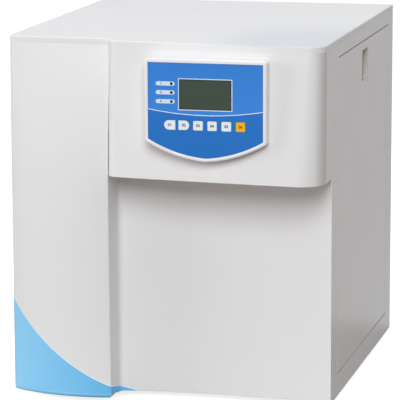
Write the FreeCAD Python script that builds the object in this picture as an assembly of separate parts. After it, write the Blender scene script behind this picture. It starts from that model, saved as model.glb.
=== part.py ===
import FreeCAD, Part
import math
import os

# Bench-top ultrapure water system: a cabinet with a bowed front column, a bulged head over an open
# dispensing bay, a control panel on the head, a drop-down service door on the right side and the water
# treatment train inside. Millimetres. X to the right, Y to the back, Z up from the bench.
# While building, y = 0 is the plane of the cabinet's front left corner; place() moves every piece so
# that the origin lies on the bench at the middle of the overall outline.

V = FreeCAD.Vector
X_AXIS, Y_AXIS, Z_AXIS = V(1, 0, 0), V(0, 1, 0), V(0, 0, 1)

# ---------------------------------------------------------------- cabinet
width = 440.0              # over the two side skins
depth = 482.0              # front left corner to the back of the rear panel
body_height = 490.0        # underside of the base to the top of the lid
foot_height = 10.0
head_height = 182.0        # top of the lid to the head's lower edge
sheet = 1.5                # cabinet sheet steel
moulding = 3.0             # wall of the moulded front covers
seam = 0.3                 # joint line between neighbouring covers
lid_drop = 8.0             # side wall of the lid
lid_roll = 1.8             # rolled edge of the lid
lid_sheet = 2.0
flange = 12.0              # folded returns of the side skins
tray_flange = 18.0         # upturned edges of the base tray

# ---------------------------------------------------------------- front column and splash wall
column_width = 144.0
column_jamb = 12.0         # where the column's left wall meets the left side skin
column_corner_left = 9.0
column_corner_right = 2.0
column_foot_reach = 25.0   # how far the column stands forward of the front left corner
column_belly_reach = 34.0
column_top_reach = 8.0
column_belly_height = 290.0
column_right_fall = 7.0    # the bowed front falls back this much towards its right edge
column_crown_share = 0.66  # where across the column its front is most forward
splash_left = 24.0         # set-back of the splash wall at its left end
splash_dish = 12.0         # how far its middle is dished behind the line between its ends
splash_right = 16.0
splash_fillet = 9.0
film_thickness = 0.25
film_glue = 0.05           # adhesive under the film
wave_height = 153.0        # where the wave film starts on the left edge, above the body's underside
wave_end = 16.0            # its height at the column's right edge
wave_sag = 23.0            # depth of its hollow below the straight line
wave_sag_share = 0.42      # where across the column that hollow is measured
wave_tail = 36.0           # the film dies away this far along the splash wall
wave_tail_drop = 10.5      # and has lost this much height at the foot of the return wall

# ---------------------------------------------------------------- head
head_left_foot = 36.0      # reach of the head's front at its lower edge, left and right
head_right_foot = 62.0
head_left_top = 28.0
head_right_top = 50.0
head_crown = 2.0
head_corner_left = 16.0
head_side_seam = 26.0      # the head cover's side ends here, ahead of the front corner plane
head_corner_land = 1.0     # flat between its right corner and that seam
floor_rise = 4.0           # the head floor lies this far above the head's lower edge
floor_thick = 3.0
floor_tail = 9.0           # how far the head floor runs behind the splash wall

# ---------------------------------------------------------------- control panel
panel_face = 66.0          # front of the bezel ahead of the front corner plane
panel_centre = 67.2        # middle of the panel across
overlay_top_gap = 22.5     # top of the overlay below the top of the lid
overlay_width = 154.0
overlay_side = 101.0       # straight side of the shield outline
overlay_tip = 125.0        # top edge to the lowest point
overlay_belly = 4.8        # bow of each lower edge
bezel_border = 5.0
bezel_wall = 3.0
bezel_plate = 2.5
bezel_edge = 2.2           # rounded front edge
overlay_recess = 0.6
overlay_thick = 0.7
fit_gap = 0.15
lcd_width = 70.0
lcd_height = 39.5
lcd_drop = 21.4
lcd_frame_rim = 4.0        # metal frame around the glass
lcd_frame_thick = 9.0
lcd_board_rim = 7.0
board_thick = 1.6
display_board_depth = 17.5 # front of the bezel to the display board
key_height = 12.5
key_pitch = 18.95
key_drop = 81.9            # top of the overlay to the keys' middle
key_row_start = 29.4       # left edge of the overlay to the first key's middle
key_widths = (15.0, 14.5, 13.0, 12.5, 13.0, 12.5)
key_proud = 0.5
key_gap = 0.3
key_flange = 1.2
key_travel = 0.5
key_corner = 1.6
light_drop = (27.6, 39.2, 51.0)
light_inset = 31.7
light_radius = 2.0

# ---------------------------------------------------------------- service door
door_front = 61.0
door_rear_margin = 42.0    # back of the door to the back of the rear panel
door_bottom = 32.0         # above the body's underside
door_top_margin = 26.5     # below the top of the lid
door_skin = 1.2
door_flange = 18.0
door_gap_side = 2.5
door_gap_bottom = 2.0
door_gap_top = 1.6
pivot_radius = 2.0
pivot_inset = 3.6          # pivot axis behind the door's face and above its lower edge
pivot_clearance = 0.05
pivot_reach = 5.0          # how far a pin enters the door
stiffener_width = 44.0
stiffener_depth = 14.0
stiffener_margin = 25.0    # end of a stiffener to the door's edge
stiffener_shares = (0.22, 0.78)
pull_width = 50.0
pull_height = 48.5
pull_depth = 14.0
pull_below_top = 8.5
pull_share = 0.51          # middle of the pull along the door
pull_lip = 4.0             # rim of the cup around its mouth
pull_pocket = 13.0         # level bottom behind the ramp
pull_ledge = 12.0          # rise of the cup's sloping floor
magnet_size = (12.0, 24.0, 10.0)

# ---------------------------------------------------------------- rear connections
inlet_height = 70.0        # above the body's underside
inlet_margin = 70.0        # middle of the inlet to the left side
switch_spacing = 48.0
fitting_offsets = (-60.0, -20.0, 20.0)      # from the centre partition
fitting_height = 60.0
fitting_reach = 18.0
tube_radius = 3.175        # quarter-inch water tube
tube_bore_clearance = 0.05
louvre_length = 90.0
louvre_height = 4.0
louvre_pitch = 12.0
louvre_count = 9

# ---------------------------------------------------------------- water treatment train
partition_gap = 12.0       # clear of the widest cartridge
partition_port = 12.0      # radius of its tube openings
partition_port_shares = ((0.24, 0.23), (0.66, 0.23), (0.24, 0.88), (0.66, 0.88))
rail_below_top = 108.0
rail_thick = 2.0
rail_gap = 6.0             # rail and cartridges to the door's flange
rail_back = 25.0           # its upturned edge on the partition
rail_lip = 12.0
filter_radius = 34.0
polisher_radius = 42.0
cartridge_foot = 62.0
cartridge_neck = 22.0
neck_clearance = 0.06
head_unit_height = 42.0
head_port_reach = 7.0      # side ports beyond a head unit's locking ring
membrane_radius = 38.0
membrane_length = 330.0
membrane_cap = 32.0
membrane_from_rear = 153.5
uv_radius = 31.5
uv_length = 300.0
uv_cap = 22.0
uv_from_rear = 65.5
pump_motor_radius = 35.0
pump_motor_length = 105.0
pump_head_size = 84.0
pump_head_length = 62.0
supply_size = (98.0, 130.0, 40.0)
supply_margin = 28.0       # to the left side
supply_from_rear = 25.0    # to the rear flange of the tray
supply_foot = 6.0
board_size = (160.0, 130.0)
board_from_front = 30.0
board_height = 210.0       # lower edge above the body's underside
board_gap = 8.0            # studs between board and partition
switch_heights = (130.0, 170.0)
switch_radius = 14.0
switch_gap = 6.0           # pressure switches to the membrane housing
valve_from_partition = 123.0
valves_from_rear = (45.0, 110.0)
valve_stem = 28.0          # hose stems to the middle of a valve
nozzle_x = (-20.0, 100.0)
nozzle_setback = 10.0      # nozzle axis ahead of the front corner plane
nozzle_radius = 4.0
nozzle_length = 10.0
foot_radius = 16.0
foot_inset_side = 50.0
foot_inset_front = 115.0
foot_inset_rear = 50.0

# ---------------------------------------------------------------- derived places
half = width / 2
z_base = foot_height
z_top = foot_height + body_height
z_lid = z_top - lid_drop
z_skin = z_lid - seam
z_head = z_top - head_height
z_belly = foot_height + column_belly_height
column_right = -half + column_width
head_left = column_right + seam
skin_in = half - sheet
tray_edge = skin_in - seam
rear_in = depth - sheet
y_origin = (depth + fitting_reach - panel_face) / 2
door_rear = depth - door_rear_margin
cartridge_x = half - door_flange - rail_gap - polisher_radius
partition_x = cartridge_x - polisher_radius - partition_gap
inlet_x = -half + inlet_margin
fitting_x = [partition_x + offset for offset in fitting_offsets]


def place(shape):
    moved = shape.copy()
    moved.translate(V(0, -y_origin, 0))
    return moved


def export(name, shape):
    place(shape).exportStep("parts/" + name + ".step")


def box(x0, x1, y0, y1, z0, z1):
    return Part.makeBox(x1 - x0, y1 - y0, z1 - z0, V(x0, y0, z0))


def rod(radius, length, x, y, z, axis=Z_AXIS):
    return Part.makeCylinder(radius, length, V(x, y, z), axis)


def ring(outer, inner, length, x, y, z, axis=Z_AXIS):
    return rod(outer, length, x, y, z, axis).cut(rod(inner, length, x, y, z, axis))


def fuse(shapes):
    whole = shapes[0].multiFuse(shapes[1:]) if len(shapes) > 1 else shapes[0]
    return whole.removeSplitter()


def group(shapes):
    return Part.makeCompound(shapes)


def line(a, b):
    return Part.LineSegment(a, b).toShape()


def arc(a, m, b):
    return Part.Arc(a, m, b).toShape()


def polygon(points):
    return Part.Face(Part.makePolygon([V(*p) for p in points] + [V(*points[0])]))


def turned(profile, x, y):
    """A piece turned about a vertical axis at x, y, from (radius, z) points."""
    face = polygon([(x + r, y, z) for r, z in profile])
    return face.revolve(V(x, y, 0), Z_AXIS, 360)


def edges_at(shape, z):
    return [e for e in shape.Edges if all(abs(v.Z - z) < 1e-6 for v in e.Vertexes)]


# ---------------------------------------------------------------- bowed plan outlines
def circle_through(a, b, c):
    """Centre and radius of the circle through three plan points."""
    d = 2 * (a[0] * (b[1] - c[1]) + b[0] * (c[1] - a[1]) + c[0] * (a[1] - b[1]))
    sa, sb, sc = (p[0] ** 2 + p[1] ** 2 for p in (a, b, c))
    x = (sa * (b[1] - c[1]) + sb * (c[1] - a[1]) + sc * (a[1] - b[1])) / d
    y = (sa * (c[0] - b[0]) + sb * (a[0] - c[0]) + sc * (b[0] - a[0])) / d
    return x, y, math.hypot(a[0] - x, a[1] - y)


def bowed_wire(x0, x1, y_back, front, r_left, r_right, inset, z):
    """A plan outline: straight sides and back, a bowed front and two rounded front corners."""
    cx, cy, radius = circle_through(*front)
    x0, x1, radius = x0 + inset, x1 - inset, radius - inset
    corner = []
    for x, r, way in ((x0, r_left, 1), (x1, r_right, -1)):
        r = max(r - inset, 0.2 * r)
        fx = x + way * r
        fy = cy - math.sqrt((radius - r) ** 2 - (fx - cx) ** 2)
        ux, uy = (fx - cx) / (radius - r), (fy - cy) / (radius - r)
        mx, my = ux - way, uy
        size = math.hypot(mx, my)
        corner.append((V(x, fy, z), V(fx + r * mx / size, fy + r * my / size, z),
                       V(fx + r * ux, fy + r * uy, z)))
    left, right = corner
    middle = (left[2].x + right[2].x) / 2
    crest = V(middle, cy - math.sqrt(radius ** 2 - (middle - cx) ** 2), z)
    back_left, back_right = V(x0, y_back, z), V(x1, y_back, z)
    return Part.Wire([line(back_left, left[0]), arc(*left), arc(left[2], crest, right[2]),
                      arc(right[2], right[1], right[0]), line(right[0], back_right),
                      line(back_right, back_left)])


def column_reach(z):
    """How far forward the column's front stands at height z."""
    if z < z_belly:
        share = (z_belly - z) / (z_belly - z_base)
        return column_belly_reach - (column_belly_reach - column_foot_reach) * share ** 2
    share = (z - z_belly) / (z_top - z_belly)
    return column_belly_reach - (column_belly_reach - column_top_reach) * share ** 2


def column_wire(z, y_back, inset, overrun=0.0):
    """The column's outline at height z; overrun carries its front on past its right edge."""
    reach = column_reach(z)
    crest = -half + column_crown_share * column_width
    right = -reach + column_right_fall * reach / column_belly_reach
    front = ((-half, 0.0), (crest, -reach), (column_right, right))
    return bowed_wire(-half, column_right + overrun, y_back, front, column_corner_left,
                      column_corner_right, inset, z)


def column_block(z0, z1, y_back, inset=0.0):
    steps = 6
    levels = [z0 + (z1 - z0) * i / steps for i in range(steps + 1)]
    return Part.makeLoft([column_wire(z, y_back, inset) for z in levels], True, False)


def head_wire(z, y_back, inset, x_left=None):
    share = (z - z_head) / (z_top - z_head)
    left = head_left_foot + (head_left_top - head_left_foot) * share
    right = head_right_foot + (head_right_top - head_right_foot) * share
    x_left = head_left if x_left is None else x_left
    middle = (head_left + half) / 2
    front = ((head_left, -left), (middle, -(left + right) / 2 - head_crown), (half, -right))
    cx, cy, radius = circle_through(*front)
    a, b = half - cx, -head_side_seam - head_corner_land - cy
    corner = (radius ** 2 - a ** 2 - b ** 2) / (2 * (radius - a))
    return bowed_wire(x_left, half, y_back, front, head_corner_left, corner, inset, z)


def head_block(z0, z1, y_back, inset=0.0):
    return Part.makeLoft([head_wire(z0, y_back, inset), head_wire(z1, y_back, inset)], True, False)


# ---------------------------------------------------------------- moulded front
splash_circle = circle_through((column_right, splash_left),
                               ((column_right + half) / 2, (splash_left + splash_right) / 2 + splash_dish),
                               (half, splash_right))


def splash_y(x, offset=0.0):
    cx, cy, radius = splash_circle
    return cy + math.sqrt((radius + offset) ** 2 - (x - cx) ** 2)


def splash_strip(near, far, x_end):
    """The return wall beside the column, its fillet and the dished splash wall, seen from above,
    between two offsets behind their visible face."""
    cx, cy, radius = splash_circle
    fx = column_right + splash_fillet
    fy = cy + math.sqrt((radius - splash_fillet) ** 2 - (fx - cx) ** 2)
    ux, uy = (fx - cx) / (radius - splash_fillet), (fy - cy) / (radius - splash_fillet)
    mx, my = ux - 1, uy
    size = math.hypot(mx, my)
    edges, ends = [], []
    for offset in (near, far):
        r = splash_fillet + offset
        side = V(column_right - offset, fy, z_base)
        knee = V(fx + r * mx / size, fy + r * my / size, z_base)
        root = V(fx + r * ux, fy + r * uy, z_base)
        middle = (root.x + x_end) / 2
        tip = V(x_end, splash_y(x_end, offset), z_base)
        start = V(column_right - offset, column_jamb - moulding, z_base)
        edges += [line(start, side), arc(side, knee, root),
                  arc(root, V(middle, splash_y(middle, offset), z_base), tip)]
        ends += [start, tip]
    edges += [line(ends[0], ends[2]), line(ends[1], ends[3])]
    return Part.Face(Part.Wire(Part.__sortEdges__(edges)))


def front_moulding():
    """The column shell, its return wall and the splash wall in one piece."""
    outer = column_block(z_base, z_skin, column_jamb)
    inner = column_block(z_base - 1, z_skin + 1, column_jamb + 1, moulding)
    wall = splash_strip(0.0, moulding, tray_edge).extrude(V(0, 0, z_head + floor_rise - z_base))
    return fuse([outer.cut(inner), wall])


def head_cover():
    """The head's shell. Its left wall runs back beside the column; its right side ends at the seam."""
    shell = head_block(z_head, z_skin, column_jamb).cut(
        head_block(z_head - 1, z_skin + 1, column_jamb + 1, moulding))
    behind = box(head_left + moulding, width, -head_side_seam, depth, z_head - 1, z_top)
    window = shield_face(-panel_face, 0.0).extrude(V(0, panel_face, 0))
    return shell.cut(behind).cut(window)


def head_floor():
    clear = moulding + seam
    y_tail = (splash_left + splash_right) / 2 + splash_dish + moulding + floor_tail
    z0 = z_head + floor_rise
    plate = Part.Face(head_wire(z0, y_tail, clear)).extrude(V(0, 0, floor_thick))
    cuts = [rod(nozzle_radius + 1.0, floor_thick, x, -nozzle_setback, z0) for x in nozzle_x]
    cuts.append(box(skin_in - flange - seam, half, -head_side_seam - seam, y_tail, z0, z0 + floor_thick))
    return plate.cut(group(cuts))


x_wrap = column_right - column_corner_right     # where the film starts round the right corner


def wave_edge(x):
    """Height of the film's hollow upper edge on the column's front."""
    a, b = (-half, z_base + wave_height), (column_right, z_base + wave_end)
    middle = (-half + column_width * wave_sag_share, (a[1] + b[1]) / 2 - wave_sag)
    cx, cz, radius = circle_through(a, middle, b)
    return cz - math.sqrt(radius ** 2 - (x - cx) ** 2)


def wave_field():
    """What lies under the film's upper edge on the column's front."""
    y0 = -column_belly_reach - 10
    a, mid, b = [V(x, y0, wave_edge(x)) for x in (-half, -half + column_width * wave_sag_share, x_wrap)]
    foot_left, foot_right = V(-half, y0, z_base), V(x_wrap, y0, z_base)
    outline = Part.Wire([arc(a, mid, b), line(b, foot_right), line(foot_right, foot_left),
                         line(foot_left, a)])
    return Part.Face(outline).extrude(V(0, column_jamb - y0, 0))


def tail_field():
    """What lies under the sloping plane that the film's upper edge follows from the corner on."""
    y_corner = -column_foot_reach + column_right_fall * column_foot_reach / column_belly_reach
    y0, y1 = -column_belly_reach - 10, splash_left + splash_fillet + splash_dish
    fall_back = wave_tail_drop / (splash_left + splash_fillet - y_corner)
    fall_side = (wave_end - wave_tail_drop) / wave_tail
    top0, top1 = [wave_edge(x_wrap) - fall_back * (y - y_corner) for y in (y0, y1)]
    z0, run = z_base - foot_height, wave_tail + splash_fillet
    side = polygon([(x_wrap, y0, z0), (x_wrap, y1, z0), (x_wrap, y1, top1), (x_wrap, y0, top0)])
    return side.extrude(V(run, 0, -run * fall_side))


def wave_film():
    """A thin printed film on the foot of the column, with a hollow curved upper edge. Its tail goes
    round the right corner and dies away on the splash wall."""
    front = film_glue + film_thickness
    skin = column_block(z_base, z_skin, column_jamb, -front).cut(
        column_block(z_base, z_skin, column_jamb, -film_glue))
    strip = splash_strip(-front, -film_glue, column_right + wave_tail).extrude(V(0, 0, wave_end))
    tail = fuse([skin.common(tail_field()), strip.common(tail_field())])
    return fuse([skin.common(wave_field()), tail])


# ---------------------------------------------------------------- sheet metal cabinet
def base_tray():
    clear = moulding + seam
    y0 = (splash_left + splash_right) / 2 + splash_dish + moulding + 1
    y1 = rear_in - seam
    top = z_base + sheet
    column_part = Part.Face(column_wire(z_base, y0 + 1, clear)).extrude(V(0, 0, sheet))
    plate = box(-tray_edge, tray_edge, y0, y1, z_base, top)
    lip = z_base + tray_flange
    edges = [box(-tray_edge, -tray_edge + sheet, y0, y1, z_base, lip),
             box(tray_edge - sheet, tray_edge, y0, y1, z_base, lip),
             box(-tray_edge, tray_edge, y1 - sheet, y1, z_base, lip),
             box(column_right, tray_edge, y0, y0 + sheet, z_base, lip)]
    return fuse([column_part, plate] + edges)


def foot_places():
    xs = (-half + foot_inset_side, half - foot_inset_side)
    ys = (foot_inset_front, depth - foot_inset_rear)
    return [(x, y) for x in xs for y in ys]


def rubber_feet():
    feet = []
    for x, y in foot_places():
        profile = [(4.5, 0.0), (foot_radius - 3, 0.0), (foot_radius - 2, 1.0), (foot_radius, foot_height),
                   (2.2, foot_height), (2.2, 4.0), (4.5, 4.0)]
        feet.append(turned(profile, x, y))
    return group(feet)


def left_side_panel():
    y0, y1 = column_jamb + seam, rear_in - seam
    lip = z_base + tray_flange + 1
    x_in = -skin_in + flange
    return fuse([box(-half, -skin_in, y0, depth, z_base, z_skin),
                 box(-skin_in, x_in, y0, y0 + sheet, lip, z_skin),
                 box(-skin_in, x_in, y1 - sheet, y1, lip, z_skin),
                 box(-skin_in, x_in, y0, y1, z_skin - sheet, z_skin)])


def aperture():
    """Front, rear, bottom and top of the doorway in the right side."""
    return (door_front - door_gap_side, door_rear + door_gap_side,
            z_base + door_bottom - door_gap_bottom, z_top - door_top_margin + door_gap_top)


bay_side = splash_y(half) - sheet - seam


def right_side_frame():
    """The right side: a stepped skin, cut back under the head where the bay is open, with folded
    returns along its edges and around the doorway."""
    a0, a1, b0, b1 = aperture()
    x_in = skin_in - flange
    y_upper = -head_side_seam + seam
    y_lower = splash_y(x_in, moulding) + seam
    y_back = rear_in - seam
    lip = z_base + tray_flange + 1
    skin = polygon([(skin_in, bay_side, z_base), (skin_in, bay_side, z_head), (skin_in, y_upper, z_head),
                    (skin_in, y_upper, z_skin), (skin_in, depth, z_skin),
                    (skin_in, depth, z_base)]).extrude(V(sheet, 0, 0))
    returns = [box(x_in, skin_in, y_upper, y_upper + sheet, z_head, z_skin),
               box(x_in, skin_in, y_upper, bay_side, z_head, z_head + sheet),
               box(x_in, skin_in, y_lower, y_lower + sheet, lip, z_head + floor_rise),
               box(x_in, skin_in, y_upper, y_back, z_skin - sheet, z_skin),
               box(x_in, skin_in, y_back - sheet, y_back, lip, z_skin)]
    x_jamb = half - door_flange
    jamb = box(x_jamb, skin_in, a0 - sheet, a1 + sheet, b0 - sheet, b1 + sheet)
    whole = fuse([skin, jamb] + returns).cut(box(x_jamb, half, a0, a1, b0, b1))
    return whole.cut(rod(pivot_radius, a1 - a0 + 2 * sheet, pivot_x, a0 - sheet, pivot_z, Y_AXIS))


def top_cover():
    y_join = depth / 2
    solids = []
    for inset, z0, z1 in ((0.0, z_lid, z_top), (lid_sheet, z_lid - 1, z_top - lid_sheet)):
        lift = V(0, 0, z1 - z0)
        plans = [column_wire(z_lid, y_join, inset, 10 * column_corner_right + inset),
                 head_wire(z_lid, y_join, inset, column_right)]
        parts = []
        for plan in plans:
            plan.translate(V(0, 0, z0 - z_lid))
            parts.append(Part.Face(plan).extrude(lift))
        parts.append(box(-half + inset, half - inset, y_join - 1, depth - inset, z0, z1))
        parts.append(box(-half + inset, half - inset, column_jamb, y_join, z0, z1))
        solids.append(fuse(parts))
    lid, hollow = solids
    lid = lid.makeFillet(lid_roll, edges_at(lid, z_top))
    return lid.cut(hollow)


def rear_panel():
    plate = box(-tray_edge, tray_edge, rear_in, depth, z_base, z_skin)
    z = z_base + inlet_height
    cuts = [box(inlet_x - 23.5, inlet_x + 23.5, rear_in, depth, z - 13.5, z + 13.5),
            box(switch_x - 10.5, switch_x + 10.5, rear_in, depth, z - 14.0, z + 14.0)]
    for x in fitting_x:
        cuts.append(rod(7.0, sheet, x, rear_in, z_base + fitting_height, Y_AXIS))
    for centre in (-half / 2, half / 2):
        for i in range(louvre_count):
            z0 = z_skin - 70 - i * louvre_pitch
            slot = box(centre - louvre_length / 2, centre + louvre_length / 2, rear_in, depth,
                       z0, z0 + louvre_height)
            ends = [rod(louvre_height / 2, sheet, centre + s * louvre_length / 2, rear_in,
                        z0 + louvre_height / 2, Y_AXIS) for s in (-1, 1)]
            cuts += [slot] + ends
    return plate.cut(group(cuts[:5])).cut(fuse(cuts[5:]))


# ---------------------------------------------------------------- control panel
z_panel = z_top - overlay_top_gap
y_face = -panel_face
y_overlay = y_face + overlay_recess
y_plate = y_overlay + overlay_thick
y_plate_back = y_plate + bezel_plate
y_board = y_face + display_board_depth
panel_left = panel_centre - overlay_width / 2


def shield_face(y, offset):
    """The panel's shield outline in the plane y, grown by offset."""
    w = overlay_width / 2
    z_side, z_tip = z_panel - overlay_side, z_panel - overlay_tip
    p = [V(panel_centre + sx * w, y, z) for sx, z in ((-1, z_side), (-1, z_panel), (1, z_panel), (1, z_side))]
    tip = V(panel_centre, y, z_tip)
    z_mid = (z_side + z_tip) / 2 - overlay_belly
    left, right = V(panel_centre - w / 2, y, z_mid), V(panel_centre + w / 2, y, z_mid)
    wire = Part.Wire([line(p[0], p[1]), line(p[1], p[2]), line(p[2], p[3]), arc(p[3], right, tip),
                      arc(tip, left, p[0])])
    face = Part.Face(wire)
    return face.makeOffset2D(offset) if offset else face


def key_places():
    """Middle of each key across the panel, its width and its rounded side (-1, 1 or 0)."""
    rounded = (-1, 1, 0, 0, 0, 0)
    for i, (w, side) in enumerate(zip(key_widths, rounded)):
        yield panel_left + key_row_start + i * key_pitch, w, side


z_keys = z_panel - key_drop


def key_plan(x, w, side, grow, y):
    """A key's outline, grown all round: a square with small corners, or a D with one round end."""
    h, w = key_height / 2 + grow, w / 2 + grow
    if side == 0:
        face = polygon([(x - w, y, z_keys - h), (x + w, y, z_keys - h), (x + w, y, z_keys + h),
                        (x - w, y, z_keys + h)])
        solid = face.extrude(V(0, 1, 0))
        r = key_corner + grow
        upright = [e for e in solid.Edges if abs(e.Vertexes[0].Y - e.Vertexes[-1].Y) > 0.5]
        solid = solid.makeFillet(r, upright)
        return [f for f in solid.Faces if abs(f.CenterOfMass.y - y) < 1e-6][0]
    root = x + side * (w - h * 0.9)
    flat = x - side * w
    top, low = V(root, y, z_keys + h), V(root, y, z_keys - h)
    nose = V(x + side * w, y, z_keys)
    wire = Part.Wire([line(low, V(flat, y, z_keys - h)), line(V(flat, y, z_keys - h), V(flat, y, z_keys + h)),
                      line(V(flat, y, z_keys + h), top), arc(top, nose, low)])
    return Part.Face(wire)


def key_holes(grow, y0, y1):
    return [key_plan(x, w, side, grow, y0).extrude(V(0, y1 - y0, 0)) for x, w, side in key_places()]


def light_places():
    return [(panel_left + light_inset, z_panel - drop) for drop in light_drop]


def light_holes(grow, y0, y1):
    return [rod(light_radius + grow, y1 - y0, x, y0, z, Y_AXIS) for x, z in light_places()]


def lcd_box(rim, y0, y1):
    return box(panel_centre - lcd_width / 2 - rim, panel_centre + lcd_width / 2 + rim, y0, y1,
               z_panel - lcd_drop - lcd_height - rim, z_panel - lcd_drop + rim)


def post_places():
    w = overlay_width / 2 - 6
    return [(panel_centre + s * w, z_panel - d) for s in (-1, 1) for d in (6, overlay_side - 6)]


def panel_bezel():
    outer = shield_face(y_face, bezel_border).extrude(V(0, panel_face, 0))
    front_edges = [e for e in outer.Edges if all(abs(v.Y - y_face) < 1e-6 for v in e.Vertexes)]
    outer = outer.makeFillet(bezel_edge, front_edges)
    cavity = shield_face(y_plate_back, bezel_border - bezel_wall).extrude(V(0, panel_face, 0))
    pocket = shield_face(y_face, fit_gap).extrude(V(0, y_plate - y_face, 0))
    posts = [rod(3.0, y_board - y_plate_back, x, y_plate_back, z, Y_AXIS) for x, z in post_places()]
    shell = outer.cut(cavity).cut(pocket)
    shell = shell.cut(head_block(z_head, z_skin, column_jamb))
    cuts = key_holes(key_gap, y_face, y_plate_back) + light_holes(fit_gap, y_face, y_plate_back)
    cuts.append(lcd_box(fit_gap, y_face, y_plate_back))
    return fuse([shell] + posts).cut(group(cuts))


def panel_overlay():
    film = shield_face(y_overlay, 0.0).extrude(V(0, overlay_thick, 0))
    cuts = key_holes(key_gap, y_overlay, y_plate) + light_holes(fit_gap, y_overlay, y_plate)
    cuts.append(lcd_box(fit_gap, y_overlay, y_plate))
    return film.cut(group(cuts))


def lcd_window():
    return lcd_box(0.0, y_overlay + 0.1, y_plate_back)


def lcd_module():
    y0 = y_plate_back + seam
    y1 = y0 + lcd_frame_thick
    frame = lcd_box(lcd_frame_rim, y0, y1).cut(lcd_box(0.0, y0, y0 + 1.0))
    board = lcd_box(lcd_board_rim, y1, y1 + board_thick)
    plug = box(panel_centre - 20, panel_centre + 20, y1 + board_thick, y_board,
               z_panel - lcd_drop - 3, z_panel - lcd_drop + 2)
    return fuse([frame, board, plug])


def display_board():
    w = overlay_width / 2 - 1
    return box(panel_centre - w, panel_centre + w, y_board, y_board + board_thick,
               z_panel - overlay_side + 1, z_panel - 1)


y_key_back = y_plate_back + seam + 1.0      # back of a key's retaining flange
y_key_foot = y_key_back + 2.0               # end of its plunger


def panel_key(x, w, side):
    y_cap, y_collar = y_overlay - key_proud, y_plate_back + seam
    cap = key_plan(x, w, side, 0.0, y_cap).extrude(V(0, y_collar - y_cap, 0))
    collar = key_plan(x, w, side, key_flange, y_collar).extrude(V(0, y_key_back - y_collar, 0))
    plunger = rod(1.5, y_key_foot - y_key_back, x, y_key_back, z_keys, Y_AXIS)
    return fuse([cap, collar, plunger])


def key_switches():
    pieces = []
    for x, _, _ in key_places():
        body = box(x - 3, x + 3, y_board - 4, y_board, z_keys - 3, z_keys + 3)
        y_tip = y_key_foot + key_travel + key_gap
        pieces.append(fuse([body, rod(1.7, y_board - 4 - y_tip, x, y_tip, z_keys, Y_AXIS)]))
    return group(pieces)


def status_lights():
    return group(light_holes(0.0, y_overlay + 0.1, y_board))


# ---------------------------------------------------------------- service door
pivot_x = half - pivot_inset
pivot_z = z_base + door_bottom + pivot_inset
z_door0, z_door1 = z_base + door_bottom, z_top - door_top_margin
pull_y = door_front + pull_share * (door_rear - door_front)
z_pull1 = z_door1 - pull_below_top
z_pull0 = z_pull1 - pull_height


def service_door():
    x_in = half - door_flange
    pan = box(x_in, half, door_front, door_rear, z_door0, z_door1).cut(
        box(x_in, half - door_skin, door_front + door_skin, door_rear - door_skin,
            z_door0 + door_skin, z_door1 - door_skin))
    extra = []
    for y in (door_front, door_rear - pivot_reach - 1):
        extra.append(box(half - door_skin - 9, half - door_skin, y, y + pivot_reach + 1,
                         z_door0, z_door0 + 10))
    for share in stiffener_shares:
        y = door_front + share * (door_rear - door_front)
        w = stiffener_width / 2
        x0 = half - door_skin - stiffener_depth
        low, high = z_door0 + stiffener_margin, z_door1 - stiffener_margin
        hat = box(x0, half - door_skin, y - w, y + w, low, high)
        hollow = box(x0 + door_skin, half - door_skin, y - w + door_skin, y + w - door_skin, low, high)
        extra.append(hat.cut(hollow))
    whole = fuse([pan] + extra)
    bore = rod(pivot_radius + pivot_clearance, door_rear - door_front, pivot_x, door_front, pivot_z, Y_AXIS)
    cup = box(half - door_skin, half, pull_y - pull_width / 2 + 2, pull_y + pull_width / 2 - 2,
              z_pull0 + 2, z_pull1 - 2)
    return whole.cut(bore).cut(cup)


def pull_cup():
    """A finger pull set in the door: a ramp leads from the front lip into a deep pocket, and the cup's
    floor slopes up to its back."""
    y0, y1 = pull_y - pull_width / 2, pull_y + pull_width / 2
    x_skin, x_deep = half - door_skin, half - pull_depth + 2
    neck = box(x_skin, half, y0 + 2, y1 - 2, z_pull0 + 2, z_pull1 - 2)
    rim = box(x_skin - 1.5, x_skin, y0 - 3, y1 + 3, z_pull0 - 3, z_pull1 + 3)
    body = box(half - pull_depth, x_skin, y0 + 2, y1 - 2, z_pull0 + 2, z_pull1 - 2)
    front, back, low = y0 + pull_lip, y1 - pull_lip, z_pull0 + pull_lip
    scoop = polygon([(half, front, low), (half, back, low), (x_deep, back, low),
                     (x_deep, back - pull_pocket, low)]).extrude(V(0, 0, pull_height - 2 * pull_lip))
    ledge = polygon([(half, front, low), (x_deep, front, low),
                     (x_deep, front, low + pull_ledge)]).extrude(V(0, back - front, 0))
    return fuse([neck, rim, body]).cut(scoop.cut(ledge))


def door_pivot_pins():
    a0, a1, _, _ = aperture()
    pins = []
    for y, way in ((a0, 1), (a1, -1)):
        reach = door_gap_side + pivot_reach
        tail = 2 * sheet
        pins.append(rod(pivot_radius, tail + reach, pivot_x, y - way * tail, pivot_z, V(0, way, 0)))
    return group(pins)


def door_magnets():
    """Two magnets under the doorway's top return, which hold the door's upper flange."""
    _, _, _, b1 = aperture()
    dx, dy, dz = magnet_size
    x1 = half - door_flange - seam
    z1 = b1 + sheet
    pieces = []
    for share in (0.25, 0.75):
        y = door_front + share * (door_rear - door_front)
        block = box(x1 - dx, x1, y - dy / 2, y + dy / 2, b1 - dz, z1 + 3)
        pieces.append(block.cut(box(x1 - dx + 3, x1, y - dy / 2, y + dy / 2, b1, z1)))
    return group(pieces)


# ---------------------------------------------------------------- rear connections
switch_x = inlet_x + switch_spacing
z_inlet = z_base + inlet_height


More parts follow.
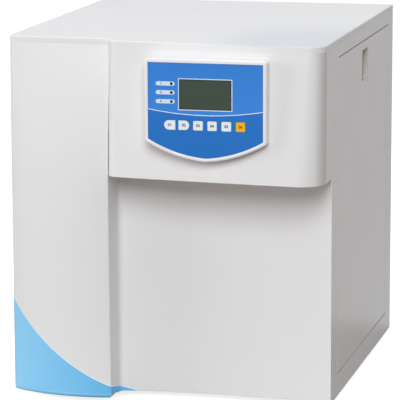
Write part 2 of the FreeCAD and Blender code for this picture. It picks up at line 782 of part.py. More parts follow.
def mains_inlet():
    """Appliance inlet: flange outside the panel, body inside, socket with three blades."""
    x = inlet_x
    plate = box(x - 25, x + 25, depth, depth + 2, z_inlet - 15, z_inlet + 15)
    body = box(x - 23.3, x + 23.3, depth - 24, depth, z_inlet - 13.3, z_inlet + 13.3)
    mouth = polygon([(x - 12, depth + 2, z_inlet - 8), (x + 12, depth + 2, z_inlet - 8),
                     (x + 12, depth + 2, z_inlet + 4), (x + 8, depth + 2, z_inlet + 8),
                     (x - 8, depth + 2, z_inlet + 8), (x - 12, depth + 2, z_inlet + 4)])
    socket = mouth.extrude(V(0, -18, 0))
    blades = [box(x + dx - 1, x + dx + 1, depth - 16, depth - 3, z_inlet + dz - 2, z_inlet + dz + 2)
              for dx, dz in ((-7, -1), (7, -1), (0, 3))]
    tabs = [box(x + dx - 3, x + dx + 3, depth - 32, depth - 24, z_inlet - 0.4, z_inlet + 0.4)
            for dx in (-7, 0, 7)]
    return fuse([plate, body] + tabs).cut(socket).fuse(blades)


rocker_radius = 9.5
rocker_half = 6.5
rocker_tilt = 9.0


def switch_frame():
    x = switch_x
    plate = box(x - 12, x + 12, depth, depth + 2, z_inlet - 16, z_inlet + 16)
    body = box(x - 10.3, x + 10.3, depth - 22, depth, z_inlet - 13.8, z_inlet + 13.8)
    tabs = [box(x - 3, x + 3, depth - 30, depth - 22, z_inlet + dz - 0.4, z_inlet + dz + 0.4)
            for dz in (-7, 7)]
    hollow = box(x - rocker_half - seam, x + rocker_half + seam, depth - 14, depth + 2,
                 z_inlet - rocker_radius - seam, z_inlet + rocker_radius + seam)
    trunnion = rod(1.5 + pivot_clearance, 2 * rocker_half + 6, x - rocker_half - 3, depth - 3,
                   z_inlet, X_AXIS)
    return fuse([plate, body] + tabs).cut(hollow).cut(trunnion)


def switch_rocker():
    """A rocker resting in its off position, tilted about its trunnions."""
    x, y = switch_x, depth - 3
    drum = rod(rocker_radius, 2 * rocker_half, x - rocker_half, y, z_inlet, X_AXIS)
    x0, low, high = x - rocker_half, z_inlet - rocker_radius, z_inlet + rocker_radius
    keep = polygon([(x0, y - 5, low), (x0, y - 5, high), (x0, y + 7, high), (x0, y + 4.4, z_inlet),
                    (x0, y + 7, low)]).extrude(V(2 * rocker_half, 0, 0))
    pin = rod(1.5, 2 * rocker_half + 5, x - rocker_half - 2.5, y, z_inlet, X_AXIS)
    body = fuse([drum.common(keep), pin])
    body.rotate(V(x, y, z_inlet), X_AXIS, rocker_tilt)
    return body


def tube_fitting(x):
    """A bulkhead push-in fitting: hexagon and collet outside, threaded shank and stem inside."""
    z = z_base + fitting_height
    hexagon = [(x + 9 * math.cos(a), depth, z + 9 * math.sin(a))
               for a in (math.pi / 3 * i for i in range(6))]
    nut = polygon(hexagon).extrude(V(0, 7, 0))
    collar = rod(8.0, fitting_reach - 9, x, depth + 7, z, Y_AXIS)
    collet = rod(5.5, 2, x, depth + fitting_reach - 2, z, Y_AXIS)
    shank = rod(6.8, 16, x, depth - 16, z, Y_AXIS)
    stem = rod(4.5, 8, x, depth - 24, z, Y_AXIS)
    bore = rod(tube_radius + tube_bore_clearance, fitting_reach + 4, x, depth - 4, z, Y_AXIS)
    way = rod(2.2, 24, x, depth - 24, z, Y_AXIS)
    return fuse([nut, collar, collet, shank, stem]).cut(bore).cut(way)


def fitting_nuts():
    z = z_base + fitting_height
    nuts = []
    for x in fitting_x:
        hexagon = [(x + 10 * math.cos(a), rear_in - 6, z + 10 * math.sin(a))
                   for a in (math.pi / 3 * i for i in range(6))]
        nuts.append(polygon(hexagon).extrude(V(0, 6, 0)).cut(rod(6.8, 6, x, rear_in - 6, z, Y_AXIS)))
    return group(nuts)


# ---------------------------------------------------------------- inside: frame and cartridges
z_tray = z_base + sheet
y_inner = (splash_left + splash_right) / 2 + splash_dish + moulding + 1 + sheet
y_rear_bay = rear_in - seam - sheet


def centre_partition():
    x0, x1 = partition_x - sheet, partition_x
    y0, y1 = y_inner + floor_tail, y_rear_bay - 3
    z1 = z_skin - 6
    wall = box(x0, x1, y0, y1, z_tray, z1)
    foot = box(x0 - 15, x0, y0, y1, z_tray, z_tray + sheet)
    crown = box(x0 - 15, x0, y0, y1, z1 - sheet, z1)
    ports = [rod(partition_port, sheet, x0, y0 + across * (y1 - y0), z_tray + up * (z1 - z_tray), X_AXIS)
             for across, up in partition_port_shares]
    return fuse([wall, foot, crown]).cut(group(ports))


z_rail = z_top - rail_below_top


def cartridge_rail():
    x1 = skin_in - door_flange - rail_gap
    plate = box(partition_x, x1, door_front, door_rear, z_rail, z_rail + rail_thick)
    back = box(partition_x, partition_x + rail_thick, door_front, door_rear, z_rail, z_rail + rail_back)
    lip = box(x1 - rail_thick, x1, door_front, door_rear, z_rail, z_rail + rail_lip)
    return fuse([plate, back, lip])


def cartridge_places():
    """Four cartridges in a row behind the door, with the same gap between neighbours."""
    radii = (filter_radius, filter_radius, polisher_radius, polisher_radius)
    gap = (door_rear - door_front - 2 * sum(radii)) / (len(radii) + 1)
    y = door_front
    places = []
    for r in radii:
        places.append((cartridge_x, y + gap + r, r))
        y += gap + 2 * r
    return places


z_head_unit = z_rail - head_unit_height
z_ports = z_rail - 12
lug_radius = cartridge_neck + 3.0


def cartridge_heads():
    """Fixed heads under the rail: each has a stepped socket for the neck and two side ports."""
    units = []
    for x, y, _ in cartridge_places():
        cap = rod(lug_radius + 5, head_unit_height, x, y, z_head_unit)
        reach = lug_radius + head_port_reach
        ports = [rod(6, reach, x, y, z_ports, V(0, s, 0)) for s in (-1, 1)]
        neck = rod(cartridge_neck + neck_clearance, 27, x, y, z_head_unit)
        groove = rod(lug_radius + seam, 6, x, y, z_head_unit + 8)
        ways = [rod(2.2, reach, x, y, z_ports, V(0, s, 0)) for s in (-1, 1)]
        units.append(fuse([cap] + ports).cut(fuse([neck, groove])).cut(group(ways)))
    return group(units)


def bridge_tubes():
    """Short tubes that carry the water from each cartridge head to the next."""
    places = cartridge_places()
    reach = lug_radius + head_port_reach
    tubes = []
    for (x, y, _), (_, y_next, _) in zip(places, places[1:]):
        tubes.append(ring(tube_radius, 2.2, y_next - y - 2 * reach, x, y + reach, z_ports, Y_AXIS))
    return group(tubes)


def cartridge(x, y, radius):
    """A quarter-turn cartridge: domed canister, neck with locking ring, grip bar underneath."""
    z0, z1 = z_base + cartridge_foot, z_head_unit - seam - 0.2
    dome = radius * 0.35
    profile = [(0.0, z0), (radius * 0.55, z0), (radius * 0.9, z0 + dome * 0.45), (radius, z0 + dome),
               (radius, z1 - dome), (radius * 0.9, z1 - dome * 0.4), (cartridge_neck + 4, z1 - 4),
               (cartridge_neck + 4, z1), (cartridge_neck, z1), (cartridge_neck, z_head_unit + 8 + seam),
               (lug_radius, z_head_unit + 8 + seam), (lug_radius, z_head_unit + 14 - seam),
               (cartridge_neck, z_head_unit + 14 - seam), (cartridge_neck, z_head_unit + 25),
               (cartridge_neck - 3, z_head_unit + 26.5), (0.0, z_head_unit + 26.5)]
    body = turned(profile, x, y)
    grip = box(x - radius * 0.5, x + radius * 0.5, y - 4, y + 4, z0 - 12, z0)
    return fuse([body, grip])


# ---------------------------------------------------------------- inside: membrane, lamp, pumps
def capped_tube(x, y, radius, z0, length, cap_height, port):
    """An upright pressure tube with a twelve-sided screwed cap at each end and a port on each cap."""
    body = rod(radius, length, x, y, z0)
    caps = []
    for z in (z0, z0 + length - cap_height):
        flats = [(x + (radius + cap_step) * math.cos(a), y + (radius + cap_step) * math.sin(a), z)
                 for a in (math.pi / 6 * i for i in range(12))]
        caps.append(polygon(flats).extrude(V(0, 0, cap_height)))
    ends = [rod(port, 10, x, y, z0 - 10), rod(port, 10, x, y, z0 + length)]
    return fuse([body] + caps + ends)


clip_reach = 6.0
cap_step = 4.0
x_tubes = partition_x - sheet - clip_reach - membrane_radius - cap_step
membrane_place = (x_tubes, rear_in - membrane_from_rear)
uv_place = (x_tubes, rear_in - uv_from_rear)
z_tubes = z_tray + 30


def housing_clips():
    """Spring clips on the partition that hold the membrane housing and the lamp chamber."""
    clips = []
    for (x, y), radius, length in ((membrane_place, membrane_radius, membrane_length),
                                   (uv_place, uv_radius, uv_length)):
        for share in (0.25, 0.72):
            z = z_tubes + share * length
            hoop = ring(radius + 3, radius, 18, x, y, z)
            hoop = hoop.cut(box(x - radius - 4, x - radius * 0.35, y - radius - 4, y + radius + 4, z, z + 18))
            foot = box(x + radius, partition_x - sheet, y - 12, y + 12, z, z + 18)
            clips.append(fuse([hoop, foot.cut(rod(radius, 18, x, y, z))]))
    return group(clips)


pump_port = 8.0
pump_places = (-half + 62.0, -half + 62.0 + pump_head_size + 2 * pump_port + 2.0)
z_pump = z_tray + 12 + pump_head_size / 2
y_pump = y_inner + 50


def pump_motor(x):
    y = y_pump + pump_head_length
    can = rod(pump_motor_radius, pump_motor_length, x, y, z_pump, Y_AXIS)
    end = rod(pump_motor_radius * 0.6, 8, x, y + pump_motor_length, z_pump, Y_AXIS)
    shaft = rod(4, 6, x, y + pump_motor_length + 8, z_pump, Y_AXIS)
    bands = [ring(pump_motor_radius + 1, pump_motor_radius - 1, 8, x, y + s * pump_motor_length,
                  z_pump, Y_AXIS) for s in (0.12, 0.45)]
    return fuse([can, end, shaft] + bands)


def pump_head(x):
    """A three-chamber diaphragm pump head: bolted block, chamber bosses and two hose ports."""
    s = pump_head_size / 2
    block = box(x - s, x + s, y_pump + 14, y_pump + pump_head_length, z_pump - s, z_pump + s)
    upright = [e for e in block.Edges if abs(e.Vertexes[0].Y - e.Vertexes[-1].Y) > 1]
    block = block.makeFillet(10, upright)
    cover = rod(s * 0.85, 14, x, y_pump, z_pump, Y_AXIS)
    spread = s * 0.42
    bosses = [rod(s * 0.32, 20, x + spread * math.cos(a), y_pump - 4, z_pump + spread * math.sin(a), Y_AXIS)
              for a in (math.pi / 2, math.pi * 7 / 6, math.pi * 11 / 6)]
    ports = [rod(6, s + pump_port, x, y_pump + 30, z_pump, V(way, 0, 0)) for way in (-1, 1)]
    return fuse([block, cover] + bosses + ports)


def pump_cradle(x):
    """A bent bracket that carries the pump on four rubber grommets."""
    s = pump_head_size / 2
    y0, y1 = y_pump + 14, y_pump + pump_head_length + pump_motor_length
    z0 = z_pump - s - 2
    plate = box(x - s, x + s, y0, y1, z0, z0 + 2)
    saddle = box(x - 22, x + 22, y1 - 40, y1 - 10, z0 + 2, z_pump).cut(
        rod(pump_motor_radius, 60, x, y1 - 50, z_pump, Y_AXIS))
    return fuse([plate, saddle])


def grommet_places(x):
    s = pump_head_size / 2 - 8
    y0, y1 = y_pump + 24, y_pump + pump_head_length + pump_motor_length - 10
    return [(x + sx * s, y) for sx in (-1, 1) for y in (y0, y1)]


def pump_grommets():
    z0 = z_pump - pump_head_size / 2 - 2
    pieces = []
    for x in pump_places:
        for gx, gy in grommet_places(x):
            pieces.append(rod(6.5, z0 - z_tray, gx, gy, z_tray))
    return group(pieces)


def power_supply():
    """Enclosed supply: folded case with rows of vent slots and a terminal strip."""
    w, d, h = supply_size
    x0, y1, z0 = -half + supply_margin, y_rear_bay - supply_from_rear, z_tray + supply_foot
    case = box(x0, x0 + w, y1 - d, y1, z0, z0 + h)
    legs = [rod(4, supply_foot, x, y, z_tray) for x in (x0 + 10, x0 + w - 10) for y in (y1 - 12, y1 - d + 12)]
    strip = box(x0 + 8, x0 + w - 8, y1, y1 + 12, z0, z0 + 16)
    vents = [box(x0 + 14 + 12 * i, x0 + 18 + 12 * i, y1 - d + 20, y1 - 20, z0 + h - sheet, z0 + h)
             for i in range(6)]
    return fuse([case, strip] + legs).cut(group(vents))


def control_board():
    """Main board on the left of the partition, with relays, terminals and a processor."""
    long, tall = board_size
    x1 = partition_x - sheet - board_gap
    x0 = x1 - board_thick
    y0, z0 = y_inner + board_from_front, z_base + board_height
    board = box(x0, x1, y0, y0 + long, z0, z0 + tall)
    relays = [box(x0 - 15, x0, y0 + 12 + 22 * i, y0 + 28 + 22 * i, z0 + 8, z0 + 27) for i in range(6)]
    terminals = box(x0 - 11, x0, y0 + 10, y0 + long - 10, z0 + tall - 18, z0 + tall - 6)
    processor = box(x0 - 3, x0, y0 + 60, y0 + 84, z0 + 50, z0 + 74)
    capacitors = [rod(6, 16, x0 - 16, y0 + 110 + 16 * i, z0 + 60, X_AXIS) for i in range(2)]
    studs = [rod(3, board_gap, x1, y, z, X_AXIS) for y in (y0 + 6, y0 + long - 6)
             for z in (z0 + 6, z0 + tall - 6)]
    return fuse([board, terminals, processor] + relays + capacitors + studs)


def solenoid(x, y, z):
    """A direct-acting water valve: body with two hose stems, coil and yoke on top."""
    body = box(x - 12, x + 12, y - 14, y + 14, z, z + 20)
    stems = [rod(4.5, valve_stem, x, y, z + 10, V(0, s, 0)) for s in (-1, 1)]
    coil = rod(14, 26, x, y, z + 20)
    yoke = box(x - 9, x + 9, y - 17, y + 17, z + 20, z + 48).cut(
        box(x - 9, x + 9, y - 15, y + 15, z + 20, z + 46))
    return fuse([body, coil, yoke] + stems)


def valve_set():
    """Inlet and flush valves on the tray, and one dispensing valve over each nozzle."""
    z_floor_top = z_head + floor_rise + floor_thick
    x_valves = partition_x - valve_from_partition
    units = [solenoid(x_valves, rear_in - y, z_tray) for y in valves_from_rear]
    units += [solenoid(x, -nozzle_setback + 3, z_floor_top + 16) for x in nozzle_x]
    return group(units)


def nozzle(x):
    """A turned spout: hose end below the head floor, shoulder against it, threaded shank above."""
    z0 = z_head + floor_rise
    y = -nozzle_setback
    profile = [(1.8, z0 - nozzle_length), (nozzle_radius, z0 - nozzle_length), (nozzle_radius, z0 - 2.0),
               (nozzle_radius + 5, z0 - 2.0), (nozzle_radius + 5, z0), (nozzle_radius + 0.8, z0),
               (nozzle_radius + 0.8, z0 + floor_thick + 16), (1.8, z0 + floor_thick + 16)]
    return turned(profile, x, y)


def nozzle_nuts():
    z0 = z_head + floor_rise + floor_thick
    nuts = []
    for x in nozzle_x:
        hexagon = [(x + 9 * math.cos(a), -nozzle_setback + 9 * math.sin(a), z0)
                   for a in (math.pi / 3 * i for i in range(6))]
        nuts.append(polygon(hexagon).extrude(V(0, 0, 5)).cut(
            rod(nozzle_radius + 0.8, 5, x, -nozzle_setback, z0)))
    return group(nuts)


def pressure_switches():
    """A low and a high pressure switch, screwed to the partition by their flats."""
    units = []
    for z in switch_heights:
        x = partition_x - sheet - switch_radius - 3
        y = membrane_place[1] - membrane_radius - cap_step - switch_gap - switch_radius
        body = rod(switch_radius, 18, x, y, z_base + z)
        stem = rod(4.5, 12, x, y, z_base + z - 12)
        cap = rod(8, 6, x, y, z_base + z + 18)
        tab = box(x, partition_x - sheet, y - 8, y + 8, z_base + z + 4, z_base + z + 14)
        units.append(fuse([body, stem, cap, tab]))
    return group(units)


def build():
    os.makedirs("parts", exist_ok=True)
    export("base_tray", base_tray())
    export("rubber_feet", rubber_feet())
    export("left_side_panel", left_side_panel())
    export("right_side_frame", right_side_frame())
    export("top_cover", top_cover())
    export("rear_panel", rear_panel())
    export("front_moulding", front_moulding())
    export("head_cover", head_cover())
    export("head_floor", head_floor())
    export("wave_film", wave_film())
    export("panel_bezel", panel_bezel())
    export("panel_overlay", panel_overlay())
    export("lcd_window", lcd_window())
    export("lcd_module", lcd_module())
    export("display_board", display_board())
    export("key_switches", key_switches())
    export("status_lights", status_lights())
    for i, (x, w, side) in enumerate(key_places()):
        export("key_%d" % (i + 1), panel_key(x, w, side))
    export("service_door", service_door())
    export("pull_cup", pull_cup())
    export("door_pivot_pins", door_pivot_pins())
    export("door_magnets", door_magnets())
    export("mains_inlet", mains_inlet())
    export("switch_frame", switch_frame())
    export("switch_rocker", switch_rocker())
    for name, x in zip(("feed_fitting", "drain_fitting", "tank_fitting"), fitting_x):
        export(name, tube_fitting(x))
    export("fitting_nuts", fitting_nuts())
    export("centre_partition", centre_partition())
    export("cartridge_rail", cartridge_rail())
    export("cartridge_heads", cartridge_heads())
    export("bridge_tubes", bridge_tubes())
    names = ("sediment_cartridge", "carbon_cartridge", "polisher_cartridge_1", "polisher_cartridge_2")
    for name, (x, y, r) in zip(names, cartridge_places()):
        export(name, cartridge(x, y, r))
    membrane = (*membrane_place, membrane_radius, z_tubes, membrane_length, membrane_cap, 6)
    export("membrane_housing", capped_tube(*membrane))
    uv = (*uv_place, uv_radius, z_tubes, uv_length, uv_cap, 6)
    export("uv_chamber", capped_tube(*uv))
    export("housing_clips", housing_clips())
    for name, x in zip(("booster_pump", "loop_pump"), pump_places):
        export(name + "_motor", pump_motor(x))
        export(name + "_head", pump_head(x))
    export("pump_cradles", group([pump_cradle(x) for x in pump_places]))
    export("pump_grommets", pump_grommets())
    export("power_supply", power_supply())
    export("control_board", control_board())
    export("solenoid_valves", valve_set())
    export("pure_nozzle", nozzle(nozzle_x[0]))
    export("ultrapure_nozzle", nozzle(nozzle_x[1]))
    export("nozzle_nuts", nozzle_nuts())
    export("pressure_switches", pressure_switches())


build()
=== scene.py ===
# %% [markdown]
# # A bench-top water purifier, dressed in Blender
#
# The construction comes from a CAD model: every panel, key and cartridge is already at its real
# size and in its place. This notebook gives those pieces their finish. The big moulded covers are
# formed again as smooth sheets, because a gloss surface shows every facet, and the flat sheet-metal
# pieces are copied, cleaned and given the small rounded edges that paint always has. All lengths
# are in metres.

# %% Load the fixed frame
import math

import bmesh
import bpy
from mathutils import Matrix, Vector


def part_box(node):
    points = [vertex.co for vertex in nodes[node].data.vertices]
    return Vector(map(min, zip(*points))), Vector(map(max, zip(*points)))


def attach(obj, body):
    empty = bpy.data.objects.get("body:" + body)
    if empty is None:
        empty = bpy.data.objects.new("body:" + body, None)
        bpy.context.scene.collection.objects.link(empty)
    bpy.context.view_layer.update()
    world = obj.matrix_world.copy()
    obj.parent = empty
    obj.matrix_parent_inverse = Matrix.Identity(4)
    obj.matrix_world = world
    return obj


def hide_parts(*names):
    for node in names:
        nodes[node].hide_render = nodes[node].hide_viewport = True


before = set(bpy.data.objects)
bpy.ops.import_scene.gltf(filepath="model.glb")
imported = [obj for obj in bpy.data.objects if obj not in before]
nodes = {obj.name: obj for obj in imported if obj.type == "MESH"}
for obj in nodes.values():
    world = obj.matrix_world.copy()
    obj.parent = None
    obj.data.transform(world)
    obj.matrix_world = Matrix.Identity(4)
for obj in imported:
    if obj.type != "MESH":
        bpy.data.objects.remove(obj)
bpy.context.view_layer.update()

MM = 0.001

# %% [markdown]
# ## Camera
#
# A long lens far away keeps the uprights nearly parallel. The camera stands to the right and a
# little above, looks 13.8 degrees to the left and 10.5 degrees down, so the front, the top and a
# narrow strip of the right side are in view. It is placed by a point and three turns, the last of
# them a very small roll, so each number has one meaning.

# %% Place the camera
CAMERA_YAW = 13.842
CAMERA_PITCH = 10.454
CAMERA_ROLL = -0.186
CAMERA_LENS = 235.86
CAMERA_PLACE = (0.8668, -3.5573, 0.9198)


def into_scene(name, data):
    """Makes an object of a camera, mesh, text or lamp and puts it in the scene."""
    thing = bpy.data.objects.new(name, data)
    bpy.context.scene.collection.objects.link(thing)
    return thing


camera = into_scene("camera", bpy.data.cameras.new("camera"))
camera.data.lens = CAMERA_LENS
camera.data.sensor_width = 36     # millimetres, as CAMERA_LENS is
camera.data.clip_end = 50         # metres
camera.matrix_world = (Matrix.Translation(CAMERA_PLACE)
                       @ Matrix.Rotation(math.radians(CAMERA_YAW), 4, "Z")
                       @ Matrix.Rotation(math.radians(90 - CAMERA_PITCH), 4, "X")
                       @ Matrix.Rotation(math.radians(CAMERA_ROLL), 4, "Z"))
bpy.context.scene.camera = camera
print("camera at", [round(v, 3) for v in camera.location])

# %% [markdown]
# ## Node helper and colours
#
# Blender's shader colours are linear light, while a colour picked from a paint card is sRGB. One
# function turns a hex code into linear values, and one function adds a node with its settings and
# its links, so a material reads as a short list of steps. A socket is named, or numbered where
# Blender repeats its name: a Mix node's two colours are sockets 6 and 7, and its mixed colour is
# output 2.

# %% Colour and node helpers
def colour(code):
    """Linear RGBA of an sRGB hex code such as E4E3E3."""
    values = [int(code[i:i + 2], 16) / 255 for i in (0, 2, 4)]
    linear = [v / 12.92 if v <= 0.04045 else ((v + 0.055) / 1.055) ** 2.4 for v in values]
    return (*linear, 1.0)


def add(tree, kind, sockets=None, **settings):
    """Adds a shader node. A socket takes a plain value, another node's output, or a node, which
    stands for its first output."""
    node = tree.nodes.new("ShaderNode" + kind)
    for name, value in settings.items():
        setattr(node, name, value)
    for name, value in (sockets or {}).items():
        if isinstance(value, bpy.types.Node):
            value = value.outputs[0]
        if isinstance(value, bpy.types.NodeSocket):
            tree.links.new(value, node.inputs[name])
        else:
            node.inputs[name].default_value = value
    return node


def new_material(name):
    """A material, its empty node tree and the piece's own coordinates, for the recipes below."""
    material = bpy.data.materials.new(name)
    material.use_nodes = True
    tree = material.node_tree
    tree.nodes.clear()
    return material, tree, add(tree, "TexCoord").outputs["Object"]


print("helpers ready; white is", colour("FFFFFF"))

# %% [markdown]
# ## Finishes
#
# Nearly everything on this machine is either sprayed paint or moulded plastic. Both are a smooth
# skin with a very shallow waviness, called orange peel on paint and flow on a moulding. The recipe
# mixes two close tones in soft clouds a hand wide, lets the gloss drift with them, and adds a low
# bump at the real size of the texture. Every step is gentle: a clamp or a hard ramp would draw
# islands on such pale, even surfaces.

# %% Painted and moulded skins
CLOUD_MM = 110.0
GLOSS_DRIFT = 0.03
COAT_ROUGHNESS = 0.08


def skin_material(name, tone, shade, peel_mm, depth_mm, roughness, coat=0.0, specular=0.5):
    """A smooth skin: two close tones in soft clouds, drifting gloss and a shallow bump peel_mm
    across."""
    material, tree, place = new_material(name)
    clouds = add(tree, "TexNoise", {"Vector": place, "Scale": 1 / (CLOUD_MM * MM), "Detail": 1.0})
    tint = add(tree, "Mix", {"Factor": clouds, 6: colour(tone), 7: colour(shade)}, data_type="RGBA")
    gloss = add(tree, "MapRange", {
        "Value": clouds, "To Min": roughness - GLOSS_DRIFT, "To Max": roughness + GLOSS_DRIFT})
    peel = add(tree, "TexNoise", {"Vector": place, "Scale": 1 / (peel_mm * MM), "Detail": 2.0})
    bump = add(tree, "Bump", {"Height": peel, "Distance": depth_mm * MM, "Strength": 1.0})
    shader = add(tree, "BsdfPrincipled", {
        "Base Color": tint.outputs[2], "Roughness": gloss, "Normal": bump, "Coat Weight": coat,
        "Coat Roughness": COAT_ROUGHNESS, "Specular IOR Level": specular})
    add(tree, "OutputMaterial", {"Surface": shader})
    return material


# Satin lacquer over a moulded cover: even, bright, a faint sheen, a soft orange peel 3 mm across.
cover_gloss = skin_material("lacquered_abs_cover", "E1E2E3", "DEDFE0", 3.0, 0.005, 0.42,
                            specular=0.2)
# The lid: the same lacquer, polished a little more, in a material of its own that carries a painted
# reflection.
lid_lacquer = skin_material("lacquered_lid", "E1E1E2", "DFDFE0", 3.0, 0.004, 0.36, specular=0.3)
# Powder coat on folded steel: a finer, deeper peel and a duller shine.
powder_coat = skin_material("powder_coated_steel", "E4E5E6", "E0E1E2", 1.6, 0.010, 0.36,
                            specular=0.45)
# Grey moulding of the door's pull: plain and dull, so the hand finds it as a shade in the panel.
grip_plastic = skin_material("grey_grip_plastic", "D2D2CE", "CBCBC7", 1.6, 0.010, 0.5, specular=0.3)
# Black moulded nylon, as inlets and switches are made.
black_nylon = skin_material("black_moulded_nylon", "141416", "0D0D0F", 0.8, 0.01, 0.42)
# White acetal fittings: dense, slightly waxy.
white_acetal = skin_material("white_acetal", "E8E8E2", "E1E1DA", 2.0, 0.004, 0.38)
# Polypropylene canisters: translucent-white moulding, softly shiny.
canister_plastic = skin_material("white_polypropylene", "EEF0F0", "E6E9EA", 4.0, 0.01, 0.33)
# Rubber: dull and nearly black.
foot_rubber = skin_material("black_rubber", "1B1B1C", "141415", 1.0, 0.02, 0.75)
# Glass-filled pump plastic: dull and grainy.
pump_plastic = skin_material("glass_filled_nylon", "2A2B2D", "202123", 0.7, 0.02, 0.55)
# Black enamel on the motors.
motor_enamel = skin_material("black_enamel", "17181A", "101113", 2.0, 0.006, 0.25)


def shade_towards(material, tone, most, **spans):
    """Paints light or shade onto a skin: it falls softly towards another tone where every span, in
    millimetres along X, Y or Z, is past its first end; it is full from the second end on."""
    tree = material.node_tree
    shader = next(n for n in tree.nodes if n.type == "BSDF_PRINCIPLED")
    plain = shader.inputs["Base Color"].links[0].from_socket
    place = add(tree, "TexCoord").outputs["Object"]
    parts = add(tree, "SeparateXYZ", {"Vector": place})
    factor = most
    for axis, (start, end) in spans.items():
        share = add(tree, "MapRange", {
            "Value": parts.outputs[axis], "From Min": start * MM, "From Max": end * MM},
            interpolation_type="SMOOTHSTEP")
        factor = add(tree, "Math", {0: share, 1: factor}, operation="MULTIPLY")
    mixed = add(tree, "Mix", {"Factor": factor, 6: plain, 7: colour(tone)}, data_type="RGBA")
    tree.links.new(mixed.outputs[2], shader.inputs["Base Color"])


# Painted reflection: over the head the flat of the lid is painted a darker, cooler tone.
shade_towards(lid_lacquer, "C8CDD4", 0.7, X=(35, 135), Y=(30, -165), Z=(497, 499.5))
# Painted shade: the last turn of the head's corner, where it meets the side panel, is painted
# darker.
shade_towards(cover_gloss, "BDBCBB", 0.6, X=(207, 219), Z=(304, 312))
print("skins:", len(bpy.data.materials))

# %% [markdown]
# ## Metals
#
# Zinc plate, stainless tube and folded aluminium are all bare metal: the colour is the metal's own,
# and the work marks make the difference. A stretched noise gives fine drawn lines along one axis.

# %% Bare metals
METAL_DRIFT = 0.08


def metal_material(name, tone, shade, line_mm, roughness, stretch=(1.0, 1.0, 0.03)):
    """Bare metal with drawn lines: noise stretched along one axis, fine across it."""
    material, tree, place = new_material(name)
    lay = add(tree, "Mapping", {"Vector": place, "Scale": stretch})
    lines = add(tree, "TexNoise", {"Vector": lay, "Scale": 1 / (line_mm * MM), "Detail": 3.0})
    tint = add(tree, "Mix", {"Factor": lines, 6: colour(tone), 7: colour(shade)}, data_type="RGBA")
    gloss = add(tree, "MapRange", {
        "Value": lines, "To Min": roughness - METAL_DRIFT, "To Max": roughness + METAL_DRIFT})
    shader = add(tree, "BsdfPrincipled", {
        "Base Color": tint.outputs[2], "Roughness": gloss, "Metallic": 1.0})
    add(tree, "OutputMaterial", {"Surface": shader})
    return material


# Zinc plate: a cool white metal, dulled by its fine lines.
zinc_plate = metal_material("zinc_plated_steel", "BFC1C4", "A7A9AD", 1.2, 0.36)
# Drawn stainless tube: brighter, with a sharper highlight.
stainless = metal_material("stainless_tube", "C9CACC", "B1B2B5", 0.8, 0.28)
# Rolled aluminium sheet: pale and soft, lined from front to back.
folded_aluminium = metal_material("folded_aluminium", "C6C8CA", "B5B7BA", 1.5, 0.40,
                                  (1.0, 0.03, 1.0))
print("metals ready")

# %% [markdown]
# ## Forming a cover
#
# The moulded covers have an outline seen from above that changes a little with height. Each is
# formed like a sheet of plastic over a mould: a flat grid, one column of points for each step along
# the outline and one row for each height, is laid on the form and made solid inwards. The outline
# is a list of stretches, straight or round, so the grid lines crowd where the corners need them. A
# joint between two covers is only rounded by a quarter of a millimetre, so it stays a hairline,
# while a free edge is rounded by 0.6 to 1 mm.

# %% Outline stretches
def straight(a, b, steps):
    """A straight stretch of an outline from a to b."""
    return steps, lambda share: (a[0] + (b[0] - a[0]) * share, a[1] + (b[1] - a[1]) * share)


def bend(centre, radius, start, end, steps):
    """A round stretch about a centre, between two angles."""
    def place(share):
        angle = start + (end - start) * share
        return centre[0] + radius * math.cos(angle), centre[1] + radius * math.sin(angle)
    return steps, place


def circle_through(a, b, c):
    """Centre and radius of the circle through three plan points."""
    d = 2 * (a[0] * (b[1] - c[1]) + b[0] * (c[1] - a[1]) + c[0] * (a[1] - b[1]))
    sa, sb, sc = (p[0] ** 2 + p[1] ** 2 for p in (a, b, c))
    x = (sa * (b[1] - c[1]) + sb * (c[1] - a[1]) + sc * (a[1] - b[1])) / d
    y = (sa * (c[0] - b[0]) + sb * (a[0] - c[0]) + sc * (b[0] - a[0])) / d
    return x, y, math.hypot(a[0] - x, a[1] - y)


def along(outline):
    """All points of an outline, each stretch's end shared with the next one's start."""
    points = [outline[0][1](0.0)]
    for steps, place in outline:
        points += [place((i + 1) / steps) for i in range(steps)]
    return points


def bowed_outline(x0, x1, y_left, y_right, front, r_left, r_right, steps=36):
    """Side wall, rounded corner, bowed front, rounded corner and side wall, seen from above."""
    cx, cy, radius = circle_through(*front)
    ends = []
    for x, r, way in ((x0, r_left, 1), (x1, r_right, -1)):
        fx = x + way * r
        fy = cy - math.sqrt((radius - r) ** 2 - (fx - cx) ** 2)
        ends.append((fx, fy, math.atan2(fy - cy, fx - cx)))
    (lx, ly, la), (rx, ry, ra) = ends
    return [straight((x0, y_left), (x0, ly), 2), bend((lx, ly), r_left, -math.pi, la, 8),
            bend((cx, cy), radius, la, ra, steps), bend((rx, ry), r_right, ra, 0.0, 10),
            straight((x1, ry), (x1, y_right), 2)]


print("an outline of", len(along(bowed_outline(-1, 1, 0, 0, ((-1, 0), (0, -.1), (1, 0)), .1, .1))),
      "points")

# %% Forming, finishing and riding
def finish_piece(bm, name, material, slot, *replaced, body="cabinet", smooth=40):
    """Turns a bmesh into a piece that rides on its body and stands for its CAD nodes. A smooth
    angle of 0 leaves every edge soft, for a piece whose edges are rounded next."""
    mesh = bpy.data.meshes.new(name)
    bm.to_mesh(mesh)
    bm.free()
    mesh.shade_smooth()
    if smooth:
        mesh.set_sharp_from_angle(angle=math.radians(smooth))
    mesh.materials.append(material)
    piece = into_scene(name, mesh)
    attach(piece, body)
    if replaced:
        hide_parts(*replaced)
    return piece


def modify(piece, kind, **settings):
    """Adds a modifier with its settings."""
    modifier = piece.modifiers.new(kind.title(), kind)
    for name, value in settings.items():
        setattr(modifier, name, value)


